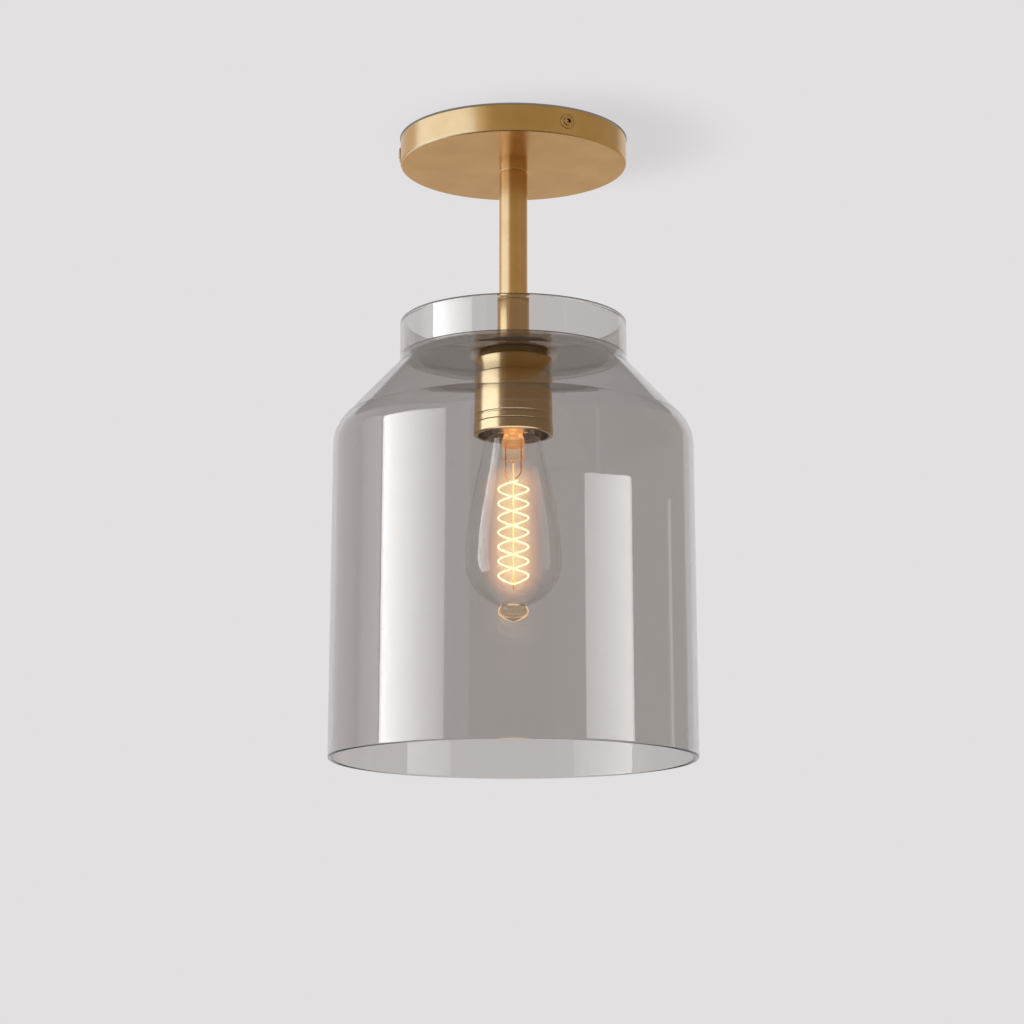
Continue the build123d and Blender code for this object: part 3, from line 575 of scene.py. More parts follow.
for number in (1, 2, 3):
    screw = f"canopy_screw_{number}"
    washer = f"canopy_washer_{number}"
    low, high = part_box(screw)
    middle = (low + high) / 2
    outward = Vector((middle.x, middle.y, 0)).normalized()
    screw_z = middle.z / MM
    shank_end, face = along(screw, outward)
    seat = face - head_h
    head_top = seat + boss_h
    key_end = face - key_depth
    outline = [
        (0, key_end - drill_point), (key_r, key_end), (key_r, face - key_edge_h), (key_r + key_edge_w, face),
        (boss_r - boss_edge, face), (boss_r, face - boss_edge), (boss_r, head_top),
        (head_r - head_edge, head_top), (head_r, head_top - head_edge), (head_r, seat), (shank_r, seat),
    ]
    turns = math.floor((seat - shank_end - thread_spare) / thread_pitch)
    for turn_number in range(turns):
        crest = seat - thread_start - turn_number * thread_pitch
        outline += [(shank_r, crest), (shank_r - thread_depth, crest - thread_pitch / 2)]
    outline += [(shank_r - thread_depth, shank_end), (0, shank_end)]
    rings = turn(outline, SCREW_AROUND)
    rings = [six_sided(ring) if abs(math.hypot(*ring[0][:2]) - key_r) < 0.01 else ring for ring in rings]
    name = f"{screw}_turned"
    piece = place(name, ring_mesh(name, aimed(rings, outward, screw_z), True), brass,
                  f"side_screw_{number}", [screw])
    # the six-sided socket's faces take dark tarnish that also paints the shade inside the deep socket
    piece.data.materials.append(tarnish_and_socket_shade)
    for part in piece.data.polygons:
        spot = part.center / MM - Vector((0, 0, screw_z))
        reached = spot.dot(outward)
        in_socket = reached > key_end - drill_point and (spot - outward * reached).length < key_r
        part.material_index = int(in_socket)

    under, top = along(washer, outward)
    outline = rounded([
        (washer_r, under, 0.1),
        (washer_r, top + washer_proud, washer_edge),
        (washer_r - washer_rim, top + washer_proud, washer_edge),
        (washer_r - washer_rim, under + washer_land, 0.05),
        (washer_hole, under + washer_land, 0),
        (washer_hole, under, 0),
    ])
    name = f"{washer}_turned"
    place(name, ring_mesh(name, aimed(turn(outline, SCREW_AROUND), outward, screw_z), True), brass,
          f"side_screw_{number}", [washer])


# Smoked glass jar: beaded neck, floor, sloping shoulder and straight body, with its rubber washers

# the glass stands this far clear of its rubber washers, so that light can tell them apart
GLASS_CLEAR = 0.03
mouth_r, rim_z, mouth_z = reach("glass_shade")
floor_z = reach("upper_gasket")[2] - GLASS_CLEAR
under_floor_z = reach("lower_gasket")[1] + GLASS_CLEAR
glass_t = 3.0
bead_r = 1.6
neck_r = 75.5
shoulder_r = 119.2
shoulder_top = -156.0
shoulder_end = -202.5
floor_hole = 7.0
neck_bend = 11.0
inner_neck_bend = 12.0
shoulder_bend = 25.0
inner_shoulder_bend = 22.0
mouth_edge = 1.4
web_edge = 0.1
slope = math.atan2(shoulder_r - neck_r, shoulder_top - shoulder_end)
inner_neck = neck_r - glass_t
inner_turn = shoulder_top - glass_t * math.tan(slope / 2)
inner_corner = shoulder_end - glass_t * math.tan(slope / 2)
# the floor is drawn as a thin web in the middle of its real thickness
web = 0.2
web_z = (floor_z + under_floor_z) / 2
bead_z = rim_z - bead_r
bead_join = 360 - math.degrees(math.acos((bead_r - glass_t) / bead_r))
glass_outline = rounded([
    (neck_r, shoulder_top, neck_bend),
    (shoulder_r, shoulder_end, shoulder_bend),
    (mouth_r, mouth_z, mouth_edge),
    (mouth_r - glass_t, mouth_z, mouth_edge),
    (shoulder_r - glass_t, inner_corner, inner_shoulder_bend),
    (inner_neck, inner_turn, inner_neck_bend),
    (inner_neck, web_z - web, web_edge),
    (floor_hole, web_z - web, 0),
    (floor_hole, web_z + web, 0),
    (inner_neck, web_z + web, web_edge),
    (inner_neck, bead_z - bead_r, 0),
    (neck_r, bead_z - bead_r, 0),
])[:-2] + arc((neck_r - bead_r, bead_z), bead_r, bead_join, 0)
turned("glass_shade", glass_outline, shade_glass)

for gasket, face_z, far_z in (
    ("upper_gasket", web_z + web + GLASS_CLEAR, disc_end),
    ("lower_gasket", web_z - web - GLASS_CLEAR, reach("socket_cap")[1]),
):
    gasket_r = reach(gasket)[0]
    outline = [(gasket_r, face_z), (gasket_r, far_z), (floor_hole, far_z), (floor_hole, face_z)]
    turned(gasket, outline, rubber)


# Socket cup: flared cap, shell with a groove, ring with an inward lip

shell_r, shell_z, shell_end = reach("socket_shell")
cap_top, cap_end = reach("socket_cap")[1:]
cup_wall = 1.0
cap_edge = 1.2
cap_waist = shell_r - 1.3
cap_side = bend(
    (shell_r, cap_top - cap_edge),
    (shell_r - 0.9, cap_top - 4),
    (cap_waist, shell_z + 5),
    (cap_waist, shell_z),
)
turned("socket_cap", (
    [(stem_hole, cap_top)]
    + arc((shell_r - cap_edge, cap_top - cap_edge), cap_edge, 90, 0)
    + cap_side[1:]
    + [
        (cap_waist, cap_end),
        (cap_waist - cup_wall, cap_end),
        (cap_waist - cup_wall, cap_top - cup_wall),
        (stem_hole, cap_top - cup_wall),
    ]
), brass)

shell_groove = shell_end + 5.4
shell_groove_w = 0.7
shell_groove_r = shell_r - 0.7
shell_groove_side = 0.3
cup_edge = 0.7
turned("socket_shell", rounded([
    (shell_r, shell_z, 0.8),
    (shell_r, shell_groove + shell_groove_side, 0.5),
    (shell_groove_r, shell_groove, 0.1),
    (shell_groove_r, shell_groove - shell_groove_w, 0.1),
    (shell_r, shell_groove - shell_groove_w - shell_groove_side, 0.5),
    (shell_r, shell_end, cup_edge),
    (shell_r - cup_wall, shell_end, 0),
    (shell_r - cup_wall, shell_z, 0),
]), brass)

ring_r, spigot_z, ring_end = reach("socket_ring")
spigot_r = shell_r - cup_wall - 0.1
ring_mouth = ring_r - 3.0
lip_t = 1.2
lip_edge = 0.3
turned("socket_ring", rounded([
    (spigot_r, spigot_z, 0),
    (spigot_r, shell_end, 0),
    (ring_r, shell_end, cup_edge),
    (ring_r, ring_end, 1.3),
    (ring_mouth, ring_end, lip_edge),
    (ring_mouth, ring_end + lip_t, lip_edge),
    (spigot_r - cup_wall, ring_end + lip_t, 0),
    (spigot_r - cup_wall, spigot_z, 0),
]), brass)


# Lamp glass

bulb_r, bulb_top, bulb_end = reach("bulb_envelope")
bulb_wall = 0.8
bulb_neck = 12.3
bulb_wide = bulb_top - 93.5
bulb_neck_end = bulb_top - 5.5
bulb_shoulder = bulb_top - 11.5
bulb_shoulder_r = 18.6
taper = math.radians(11.7)
half_slope = math.tan(taper / 2)
flank_drop = bulb_shoulder - bulb_wide
flank_l = (bulb_r - bulb_shoulder_r - flank_drop * half_slope) / (math.tan(taper) - half_slope)
flank_end = (bulb_shoulder_r + flank_l * math.tan(taper), bulb_shoulder - flank_l)
cheek_r = (bulb_r - flank_end[0]) / (1 - math.cos(taper))
pip_root = 8.2
pip_r = 10.0
pip_wide = bulb_wide - bulb_r - 2.2
pip_seal = 1.2
neck_bend_r = 4.5
root_turn = math.degrees(math.asin(pip_root / bulb_r))


def bulb_side(inset):
    """Half outline of the lamp from its neck down to its ball, moved in by a wall."""
    neck = rounded([
        (0, bulb_top, 0),
        (bulb_neck - inset, bulb_top, 0),
        (bulb_neck - inset, bulb_neck_end - inset / 2, neck_bend_r + inset),
        (bulb_shoulder_r - inset, bulb_shoulder - inset / 2, neck_bend_r - inset),
        (flank_end[0] - inset, flank_end[1], 0),
    ])
    cheek = arc((bulb_r - cheek_r, bulb_wide), cheek_r - inset, math.degrees(taper), 0)
    return neck[1:-1] + cheek


def bulb_half(inset, seal):
    """Half outline of the lamp from its neck to the end of its pip, moved in by a wall and a thicker seal."""
    side = bulb_side(inset) + arc((0, bulb_wide), bulb_r - inset, 0, root_turn - 90)[1:]
    root = side[-1]
    wide = (pip_r - inset, pip_wide)
    tip = (0, bulb_end + seal)
    pip = bend(root, (root[0] + 0.9, root[1] - 1.0), (wide[0], wide[1] + 1.4), wide, 8)[1:]
    pip += bend(wide, (wide[0], wide[1] - 3.4), (3.2, tip[1] + 0.4), tip, 14)[1:]
    return side + pip


bulb_outline = bulb_half(0, 0) + bulb_half(bulb_wall, pip_seal)[::-1]
envelope = turned("bulb_envelope", bulb_outline, clear_glass, "bulb")
# the pip's faces take the painted gold edge glow
envelope.data.materials.append(pip_glass)
pip_start = bulb_wide - bulb_r + 1.2
for face in envelope.data.polygons:
    face.material_index = int(face.center.z < pip_start * MM)


# Lamp cap: plain skirt, rolled right-hand thread and cone to the insulator

CAP_AROUND = 120
cap_r, cap_high, cap_low = reach("bulb_screw_cap")
cap_wall = 0.45
roll_pitch = 3.63
roll_depth = 0.6
skirt_h = 4.5
cone_h = 1.9
skirt_step = 0.6
roll_fade = 1.2
insulator_r = reach("bulb_insulator")[0]
cone_z = cap_high - cone_h


def rolled_ring(z):
    """Ring of the cap's thread at a height, fading out at both ends of the roll."""
    room = min(z - cap_low - skirt_h, cone_z - z) / roll_fade
    depth = roll_depth * min(1, max(0, room))
    ring = []
    for i in range(CAP_AROUND):
        a = 2 * math.pi * i / CAP_AROUND
        r = cap_r - depth / 2 + depth / 2 * math.cos(2 * math.pi * z / roll_pitch - a)
        ring.append((r * math.cos(a), r * math.sin(a), z))
    return ring


ROLL_STEPS = 56
cap_rings = [rolled_ring(cap_low + (cone_z - cap_low) * step / ROLL_STEPS) for step in range(ROLL_STEPS + 1)]
cap_bore = cap_r - roll_depth - cap_wall
cap_rings += turn([
    (insulator_r, cap_high),
    (0, cap_high),
    (0, cap_high - cap_wall),
    (insulator_r - cap_wall, cap_high - cap_wall),
    (cap_bore, cone_z - cap_wall),
    (cap_bore, cap_low + skirt_h + skirt_step),
    (cap_r - cap_wall, cap_low + skirt_h),
    (cap_r - cap_wall, cap_low),
], CAP_AROUND)
place("lamp_cap_rolled", ring_mesh("lamp_cap_rolled", cap_rings, True), cap_metal, "bulb",
      ["bulb_screw_cap"])


# Glass stem inside the lamp: flare, flattened press, rod and end bead

STEM_AROUND = 64
stem_top, bead_end = reach("bulb_glass_stem")[1:]
press_z = bulb_top - 10.0
press_end = press_z - 17.0
press_w = 7.5
press_t = 3.0
rod_r = 0.45
bead = 1.5


def flat_ring(half_x, half_y, z, square):
    """Ring between an ellipse (square 2) and a rounded oblong (square 4)."""
    ring = []
    for i in range(STEM_AROUND):
        a = 2 * math.pi * i / STEM_AROUND
        c, s = math.cos(a), math.sin(a)
        ring.append((
            half_x * math.copysign(abs(c) ** (2 / square), c),
            half_y * math.copysign(abs(s) ** (2 / square), s),
            z,
        ))
    return ring


stem_rings = [[(0, 0, stem_top)]]
# radius of the flare by the drop from its top
for flare_r, drop in ((11.2, 0), (9.2, 1.6), (7.2, 4.6), (6.2, 7.5)):
    stem_rings.append(flat_ring(flare_r, flare_r, stem_top - drop, 2))
for half_x, half_y, z, square in (
    (6.4, 5.0, press_z, 2.4),
    (7.2, 3.5, press_z - 2.4, 3.2),
    (press_w, press_t, press_z - 4.5, 4),
    (press_w, press_t, press_end + 1.2, 4),
    (press_w - 0.3, press_t - 0.3, press_end + 0.4, 4),
    (press_w - 1.0, press_t - 0.9, press_end, 4),
    (rod_r + 0.7, rod_r + 0.7, press_end - 0.2, 2),
    (rod_r, rod_r, press_end - 1.4, 2),
    (rod_r, rod_r, bead_end + 2 * bead, 2),
):
    stem_rings.append(flat_ring(half_x, half_y, z, square))
for degrees in range(60, -90, -15):
    a = math.radians(degrees)
    half = bead * math.cos(a)
    stem_rings.append(flat_ring(half, half, bead_end + bead + bead * math.sin(a), 2))
stem_rings.append([(0, 0, bead_end)])
stem_mesh = ring_mesh("lamp_stem_press", stem_rings[::-1], False)
press = place("lamp_stem_press", stem_mesh, press_glass, "bulb", ["bulb_glass_stem"])
press.data.materials.append(rod_glass)
# the rod's faces below the press take the painted warm glow
rod_start = press_end - 2
for face in press.data.polygons:
    face.material_index = int(face.center.z < rod_start * MM)


# Filament: two right-hand strands half a turn apart, joined by a bend under the rod

coil_r = 10.0
coil_pitch = 19.25
coil_start = -0.05
coil_turns = 3.25
coil_top = press_end - 14.4
# the winding leans to the front, as the photo shows it
coil_lean = math.tan(math.radians(9.5))
coil_drop = 5.5
filament_d = 1.25
STEPS = 80


def strand(turn):
    """Point on the first strand, in turns from its start at the front."""
    angle = math.radians(-90) - 2 * math.pi * turn
    return coil_r * math.cos(angle), coil_r * math.sin(angle), coil_top - turn * coil_pitch


def half_turned(points):
    """The same points on the other side of the Z axis, in reverse."""
    return [(-x, -y, z) for x, y, z in reversed(points)]


winding = [strand(coil_start + (coil_turns - coil_start) * i / STEPS) for i in range(STEPS + 1)]
coil_end = winding[-1]
winding += bend(
    coil_end,
    (coil_end[0], coil_end[1] + 2.4, coil_end[2] - 1.6),
    (-3.6, 0, coil_end[2] - 4.9),
    (0, 0, coil_end[2] - coil_drop),
)[1:]
winding += half_turned(winding)[1:]
leaned = [(x, y, z + y * coil_lean) for x, y, z in winding]
wire("filament_winding", leaned, filament_d, glow, "bulb", ["filament"])

lead_d = 0.8
lead_x = 5.0
lead_in = press_end + 13
lead_out = press_end - 4
lead_path = [(lead_x, 0, lead_in)] + bend(
    (lead_x, 0, lead_out),
    (lead_x + 0.4, -1, lead_out - 5),
    (4.5, -9.6, coil_top + 3.4),
    (1.6, -coil_r, coil_top + 0.6),
)
for name, path, nodes in (
    ("lead_wire_right", lead_path, ["bulb_lead_wires"]),
    ("lead_wire_left", half_turned(lead_path), []),
):
    wire(name, path, lead_d, lead_metal, "bulb", nodes)

hook_d = 0.7
hook_rise = 8.0
hook_turn = 1.5
hook_pull = 0.6
hook_y = bead + 0.45
hook_z = reach("filament_hook")[2] + hook_d / 2
hook_path = [(0, hook_y, hook_z + hook_rise)]
hook_path += bend(
    (0, hook_y, hook_z + hook_turn),
    (0, hook_y, hook_z + hook_pull),
    (0, hook_y - hook_pull, hook_z),
    (0, hook_y - hook_turn, hook_z),
    6,
)
hook_path += [(0, -hook_y, hook_z)]
wire("filament_support_hook", hook_path, hook_d, lead_metal, "bulb", ["filament_hook"])


# Studio: pale backdrop, light cards left and right, dim cards round the room and small lamps in the jar.
# Its places and sizes are in metres.

BACKDROP = "#E2E0E1"
UP = Vector((0, 0, 1))
# a lamp with this power per square metre is as bright as its strength says
PLAIN_WATTS = 4.0
# more glass skins or bounces than a ray can have here
ANY_COUNT = 12


def studio_world():
    """Pale backdrop for what is seen, mirrored or seen through glass, and a plain fill for the rest."""
    world = bpy.data.worlds.new("studio")
    world.use_nodes = True
    tree = world.node_tree
    tree.nodes.clear()
    path = add(tree, "ShaderNodeLightPath").outputs
    seen = path["Is Camera Ray"]
    for kind in ("Is Glossy Ray", "Is Transmission Ray"):
        seen = add(tree, "ShaderNodeMath", {0: seen, 1: path[kind]}, operation="MAXIMUM").outputs[0]
    fill = add(tree, "ShaderNodeBackground", {"Color": linear("#F2F2F4"), "Strength": 0.7})
    backdrop = add(tree, "ShaderNodeBackground", {"Color": linear(BACKDROP), "Strength": 1.0})
    mixed = add(tree, "ShaderNodeMixShader", {0: seen, 1: fill.outputs[0], 2: backdrop.outputs[0]})
    add(tree, "ShaderNodeOutputWorld", {"Surface": mixed.outputs[0]})
    bpy.context.scene.world = world


def stage_mesh(name, corners, material):
    """One flat sheet that belongs to the studio and not to the light."""
    mesh = bpy.data.meshes.new(name)
    mesh.from_pydata(corners, [], [(0, 1, 2, 3)])
    mesh.materials.append(material)
    sheet = bpy.data.objects.new(name, mesh)
    bpy.context.scene.collection.objects.link(sheet)
    return sheet


def bare_material(name):
    """A named material with an empty node tree."""
    made = bpy.data.materials.new(name)
    made.use_nodes = True
    made.node_tree.nodes.clear()
    return made, made.node_tree


def within(tree, level, deepest, bounces):
    """The level, or nothing for rays that crossed more glass skins or bounced more often than this."""
    path = add(tree, "ShaderNodeLightPath").outputs
    for depth, most in (("Transmission Depth", deepest), ("Glossy Depth", bounces)):
        near = add(tree, "ShaderNodeMath", {0: path[depth], 1: most + 0.5}, operation="LESS_THAN")
        level = add(tree, "ShaderNodeMath", {0: level, 1: near.outputs[0]}, operation="MULTIPLY").outputs[0]
    return level


def studio_card(name, ends, low, high, colour, levels,
                passes=False, deepest=ANY_COUNT, bounces=ANY_COUNT, satin_only=False):
    """Upright card between two (x, y) ends, seen in reflections and never straight through glass.
    Its strength runs from level to level between its ends. Light from behind goes through it if it passes.
    Rays that crossed more than the deepest count of glass skins or bounced more often than bounces miss it,
    and a satin_only card is left out of sharp mirror reflections."""
    first, last = (Vector((*end, 0)) for end in ends)
    run = last - first
    made, tree = bare_material(name)
    path = add(tree, "ShaderNodeLightPath").outputs
    bounced = add(tree, "ShaderNodeMath", {
        0: path["Glossy Depth"], 1: path["Diffuse Depth"]}, operation="ADD")
    straight = add(tree, "ShaderNodeMath", {
        0: path["Is Camera Ray"], 1: path["Is Transmission Ray"]}, operation="MAXIMUM")
    other = add(tree, "ShaderNodeMath", {0: 1.0, 1: straight.outputs[0]}, operation="SUBTRACT")
    shown = add(tree, "ShaderNodeMath", {
        0: bounced.outputs[0], 1: other.outputs[0]}, operation="ADD", use_clamp=True).outputs[0]
    shown = within(tree, shown, deepest, bounces)
    if satin_only:
        shown = add(tree, "ShaderNodeMath", {
            0: shown, 1: path["Is Singular Ray"]}, operation="SUBTRACT", use_clamp=True).outputs[0]
    spot = add(tree, "ShaderNodeTexCoord").outputs["Object"]
    reached = add(tree, "ShaderNodeVectorMath", {0: spot, 1: run.normalized()}, operation="DOT_PRODUCT")
    start = first.dot(run.normalized())
    fade = add(tree, "ShaderNodeMapRange", {
        "Value": reached.outputs["Value"], "From Min": start, "From Max": start + run.length,
        "To Min": levels[0], "To Max": levels[1]})
    light = add(tree, "ShaderNodeEmission", {"Color": linear(colour), "Strength": fade.outputs["Result"]})
    clear = add(tree, "ShaderNodeBsdfTransparent")
    if passes:
        light = add(tree, "ShaderNodeAddShader", {0: light.outputs[0], 1: clear.outputs[0]})
    mixed = add(tree, "ShaderNodeMixShader", {0: shown, 1: clear.outputs[0], 2: light.outputs[0]})
    add(tree, "ShaderNodeOutputMaterial", {"Surface": mixed.outputs[0]})
    card = stage_mesh(name, [first + UP * low, last + UP * low, last + UP * high, first + UP * high], made)
    card.visible_camera = False
    card.visible_shadow = False
    return card


def light_only(source, pieces):
    """Keep a card's or a lamp's light on some pieces and off everything else."""
    group = bpy.data.collections.new(f"{source.name} pieces")
    for piece in pieces:
        group.objects.link(piece)
    source.light_linking.receiver_collection = group


def studio_lamp(name, ends, low, high, colour, levels, deepest, pieces):
    """Upright area lamp between two (x, y) ends, which faces the axis and shows only in pieces' reflections.
    Its strength runs from level to level between its ends. Rays that crossed more than the deepest count of
    glass skins or bounced twice miss it."""
    first, last = (Vector((*end, 0)) for end in ends)
    run = last - first
    middle = (first + last) / 2
    toward = run.cross(UP).normalized()
    if toward.dot(middle) > 0:
        toward = -toward
    start, end = levels if toward.cross(UP).dot(run) > 0 else levels[::-1]
    made = bpy.data.lights.new(name, "AREA")
    made.shape = "RECTANGLE"
    made.size = run.length
    made.size_y = high - low
    made.energy = PLAIN_WATTS * made.size * made.size_y
    made.use_nodes = True
    tree = made.node_tree
    tree.nodes.clear()
    spot = add(tree, "ShaderNodeSeparateXYZ", {0: add(tree, "ShaderNodeNewGeometry").outputs["Parametric"]})
    fade = add(tree, "ShaderNodeMapRange", {"Value": spot.outputs["X"], "To Min": start, "To Max": end})
    level = within(tree, fade.outputs["Result"], deepest, 1)
    light = add(tree, "ShaderNodeEmission", {"Color": linear(colour), "Strength": level})
    add(tree, "ShaderNodeOutputLight", {"Surface": light.outputs[0]})
    lamp = bpy.data.objects.new(name, made)
    bpy.context.scene.collection.objects.link(lamp)
    lamp.location = middle + UP * (low + high) / 2
    lamp.rotation_euler = toward.to_track_quat("-Z", "Y").to_euler()
    for kind in ("camera", "diffuse", "transmission", "volume_scatter"):
        setattr(lamp, f"visible_{kind}", False)
    light_only(lamp, pieces)
    return lamp


def facing(degrees, distance, width):
    """Ends of a card that faces the axis, at an angle to the left of the camera's side.
    Seen from above, the end further anticlockwise comes first."""
    angle = math.radians(degrees)
    middle = Vector((-math.sin(angle), -math.cos(angle))) * distance
    across = Vector((math.cos(angle), -math.sin(angle))) * width / 2
    return middle + across, middle - across


def painted_warm_glow(core_z, core_half, reach_mm):
    """Painted warm glow in the air round the winding, strongest and palest at its core."""
    made, tree = bare_material("painted warm glow")
    spot = add(tree, "ShaderNodeTexCoord").outputs["Object"]
    moved = add(tree, "ShaderNodeVectorMath", {0: spot, 1: (0, 0, core_z * MM)}, operation="SUBTRACT")
    folded = add(tree, "ShaderNodeVectorMath", {0: moved.outputs[0]}, operation="ABSOLUTE")
    past = add(tree, "ShaderNodeVectorMath", {
        0: folded.outputs[0], 1: (0, 0, core_half * MM)}, operation="SUBTRACT")
    outside = add(tree, "ShaderNodeVectorMath", {0: past.outputs[0], 1: (0, 0, 0)}, operation="MAXIMUM")
    distance = add(tree, "ShaderNodeVectorMath", {0: outside.outputs[0]}, operation="LENGTH")
    share = add(tree, "ShaderNodeMapRange", {"Value": distance.outputs["Value"], "From Max": reach_mm * MM})
    ramp = add(tree, "ShaderNodeValToRGB", {"Fac": share.outputs["Result"]})
    ramp.color_ramp.elements[0].color = linear("#FFF9A0")
    ramp.color_ramp.elements[1].color = linear("#2A2523")
    ramp.color_ramp.elements.new(0.4).color = linear("#F0C070")
    ramp.color_ramp.elements.new(0.7).color = linear("#A5683A")
    light = add(tree, "ShaderNodeEmission", {"Color": ramp.outputs["Color"], "Strength": 36.0})
    add(tree, "ShaderNodeOutputMaterial", {"Volume": light.outputs[0]})
    return made


def ceiling_shade(middle_x, soft_from, soft_to, depth, edge_r, edge_w, edge_depth):
    """Clear film on the ceiling, painted darker as the canopy's soft shadow and as a dark contact line along
    its edge.
    """
    made, tree = bare_material("ceiling shadow")
    spot = add(tree, "ShaderNodeTexCoord").outputs["Object"]
    moved = add(tree, "ShaderNodeVectorMath", {0: spot, 1: (middle_x * MM, 0, 0)}, operation="SUBTRACT")
    away = add(tree, "ShaderNodeVectorMath", {0: moved.outputs[0]}, operation="LENGTH")
    soft = add(tree, "ShaderNodeMapRange", {
        "Value": away.outputs["Value"], "From Min": soft_to * MM, "From Max": soft_from * MM,
        "To Min": 1 - depth, "To Max": 1.0}, interpolation_type="SMOOTHSTEP")
    centred = add(tree, "ShaderNodeVectorMath", {0: spot}, operation="LENGTH")
    line = add(tree, "ShaderNodeMapRange", {
        "Value": centred.outputs["Value"], "From Min": edge_r * MM, "From Max": (edge_r + edge_w) * MM,
        "To Min": 1 - edge_depth, "To Max": 1.0}, interpolation_type="SMOOTHSTEP")
    both = add(tree, "ShaderNodeMath", {
        0: soft.outputs["Result"], 1: line.outputs["Result"]}, operation="MULTIPLY")
    below = add(tree, "ShaderNodeMath", {
        0: both.outputs[0], 1: add(tree, "ShaderNodeNewGeometry").outputs["Backfacing"]}, operation="MAXIMUM")
    direct = add(tree, "ShaderNodeLightPath").outputs["Is Camera Ray"]
    bounced = add(tree, "ShaderNodeMath", {0: 1.0, 1: direct}, operation="SUBTRACT")
    clear = add(tree, "ShaderNodeMath", {0: below.outputs[0], 1: bounced.outputs[0]}, operation="MAXIMUM")
    film = add(tree, "ShaderNodeBsdfTransparent", {"Color": clear.outputs[0]})
    add(tree, "ShaderNodeOutputMaterial", {"Surface": film.outputs[0]})
    return made


studio_world()
all_pieces = [item for item in bpy.context.scene.objects if item.type == "MESH"]
shade = bpy.data.objects["glass_shade_turned"]
cupped = [bpy.data.objects[f"{node}_turned"] for node in (
    "coupling_sleeve", "clamp_disc", "socket_cap", "socket_shell", "socket_ring")]
WHITE = "#FFFFFF"
METAL_BLUE = "#88B0FF"
SOCKET_BLUE = "#9EBEFF"
WARM_GREY = "#B6B0A7"
CEILING_GREY = "#9A9692"
WARM_WALL = "#D2C9BC"
PLAIN = (1.0, 1.0)
over_floor = (floor_z + 1) * MM
under_floor = (under_floor_z - 1) * MM
over_rim = (rim_z + 20) * MM

# softboxes mirrored by the jar: angle and width, lower and upper edge, strengths from end to end
GLASS_CARD_AWAY = 1.6
glass_cards = (
    ("softbox_left", 64.5, 1.35, -1.45, 0.34, (1.7, 8.7)),
    ("softbox_left_back", 98.5, 0.56, -1.45, 0.34, (1.1, 0.1)),
    ("softbox_right_near", -49, 0.308, -0.7, 0.081, (3.6, 2.6)),
    ("softbox_right_mid", -60, 0.308, -0.7, 0.081, (4.8, 3.6)),
    ("softbox_right_far", -71, 0.308, -0.7, 0.081, (5.6, 4.8)),
    ("strip_right", -112, 0.09, -0.7, 0.06, (0.7, 0.7)),
)
for name, angle, width, low, high, levels in glass_cards:
    ends = facing(angle, GLASS_CARD_AWAY, width)
    light_only(studio_card(name, ends, low, high, WHITE, levels, True, 3, 1), [shade])

# small lamps mirrored by the brass and the lamp inside the jar
socket_side = ((-0.0426, -0.0584), (-0.0624, -0.0041))
sleeve_side = ((-0.0428, -0.0419), (-0.0588, 0.006))
lip_side = ((-0.05, -0.05), (0.05, -0.05))
studio_lamp("lamp_on_socket", socket_side, -0.215, under_floor, SOCKET_BLUE, (5.1, 5.1), ANY_COUNT, cupped)
studio_lamp("lamp_on_sleeve", sleeve_side, over_floor, over_rim, SOCKET_BLUE, (4.2, 4.2), ANY_COUNT, cupped)
studio_lamp("lamp_on_bulb", facing(61.4, 0.07, 0.034), -0.32, -0.175, WHITE, (2.0, 8.5), 5, [envelope, press])
studio_lamp("lamp_on_bulb_right", facing(-66, 0.07, 0.03), -0.31, -0.2, WHITE, (1.8, 0.4), 5, [envelope])
under_lip = studio_lamp("lamp_under_lip", lip_side, -0.03, 0.03, SOCKET_BLUE, (4.0, 4.0), ANY_COUNT, cupped)
under_lip.rotation_euler = (math.pi, 0, 0)
under_lip.location.z = (ring_end - 18) * MM

# softboxes for the brass outside the jar, which leave the floor as it is
for name, ends, low, high in (
    ("softbox_on_metal", facing(76, 1.7, 2.6), -2.3, 0.85),
    ("bounce_on_metal", facing(125, 1.65, 2.6), -2.35, -0.8),
):
    card = studio_card(name, ends, low, high, METAL_BLUE, (2.4, 2.4), True, 1, satin_only=True)
    light_only(card, all_pieces)

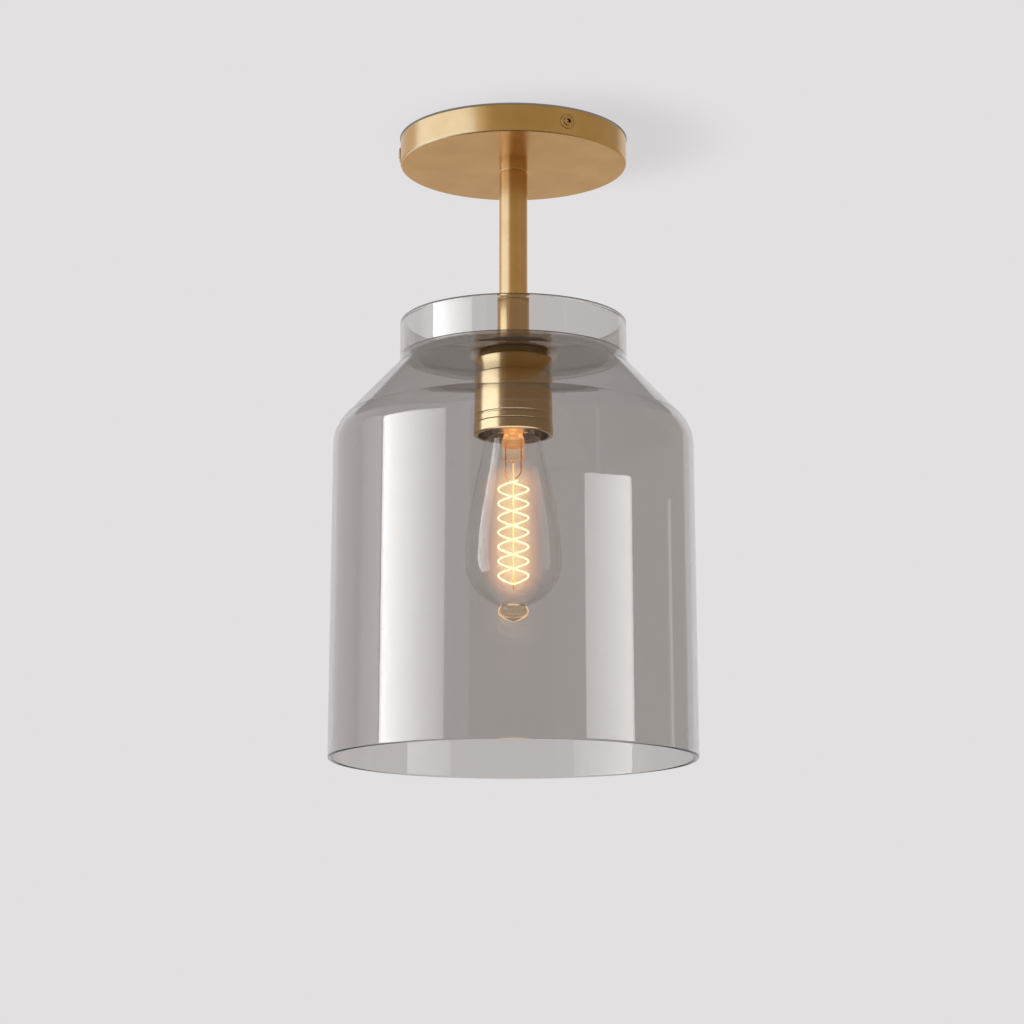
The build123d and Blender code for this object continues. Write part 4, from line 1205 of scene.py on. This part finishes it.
# dim room
studio_card("dim_room_front", facing(-13, 3.0, 5.0), -2.3, 1.7, WARM_GREY, PLAIN)
studio_card("dim_card_right", facing(-95, 2.0, 3.4), -2.3, 1.7, WARM_GREY, PLAIN)
dim_ceiling = studio_card("dim_ceiling", ((-2, 0), (2, 0)), -2, 2, CEILING_GREY, PLAIN)
dim_ceiling.rotation_euler.x = math.pi / 2
dim_ceiling.location.z = 1.2
studio_card("warm_wall_back", facing(180, 3.0, 6.0), -2.3, 0.2, WARM_WALL, PLAIN, satin_only=True)

# painted glow volume inside the lamp round the winding
halo_inset = 2.0
halo_reach = 22.0
halo_z = (coil_top + coil_end[2]) / 2
halo_half = (coil_top - coil_end[2]) / 2 - 4
halo_outline = [(0, bulb_top)] + bulb_side(halo_inset) + arc((0, bulb_wide), bulb_r - halo_inset, 0, -90)[1:]
painted_halo = bpy.data.objects.new("painted_lamp_glow", ring_mesh("painted_lamp_glow", turn(halo_outline, STEM_AROUND), True))
bpy.context.scene.collection.objects.link(painted_halo)
painted_halo.data.materials.append(painted_warm_glow(halo_z, halo_half, halo_reach))
painted_halo.parent = frame["bodies"]["bulb"]

CEILING_HALF = 0.2
CEILING_GAP = 0.0004
FLOOR_HALF = 6.0
FLOOR_Z = -2.4
facing_up = ((-1, -1), (1, -1), (1, 1), (-1, 1))
facing_down = ((-1, -1), (-1, 1), (1, 1), (1, -1))
# painted shadow and painted contact line on the ceiling round the canopy
ceiling_shadow = ceiling_shade(
    middle_x=35.0, soft_from=130.0, soft_to=55.0, depth=0.15, edge_r=canopy_r, edge_w=0.8, edge_depth=0.75)
floor_paint = moulded("pale studio floor", "#DEDDDF", "#E4E3E5", 0.6, 400)
stage_mesh("ceiling_film", [(x * CEILING_HALF, y * CEILING_HALF, CEILING_GAP) for x, y in facing_down],
           ceiling_shadow)
stage_mesh("studio_floor", [(x * FLOOR_HALF, y * FLOOR_HALF, FLOOR_Z) for x, y in facing_up], floor_paint)

camera = bpy.data.objects.new("camera", bpy.data.cameras.new("camera"))
bpy.context.scene.collection.objects.link(camera)
# the photo's middle lies a little to the right of its frame's
camera.location = (-0.0009, -1.848, -0.622)
camera.rotation_euler = (math.radians(101.2), 0.0, 0.0)
camera.data.sensor_width = 36.0
camera.data.lens = 100.4
camera.data.clip_end = 50.0
bpy.context.scene.camera = camera
bpy.context.scene.view_settings.view_transform = "Standard"
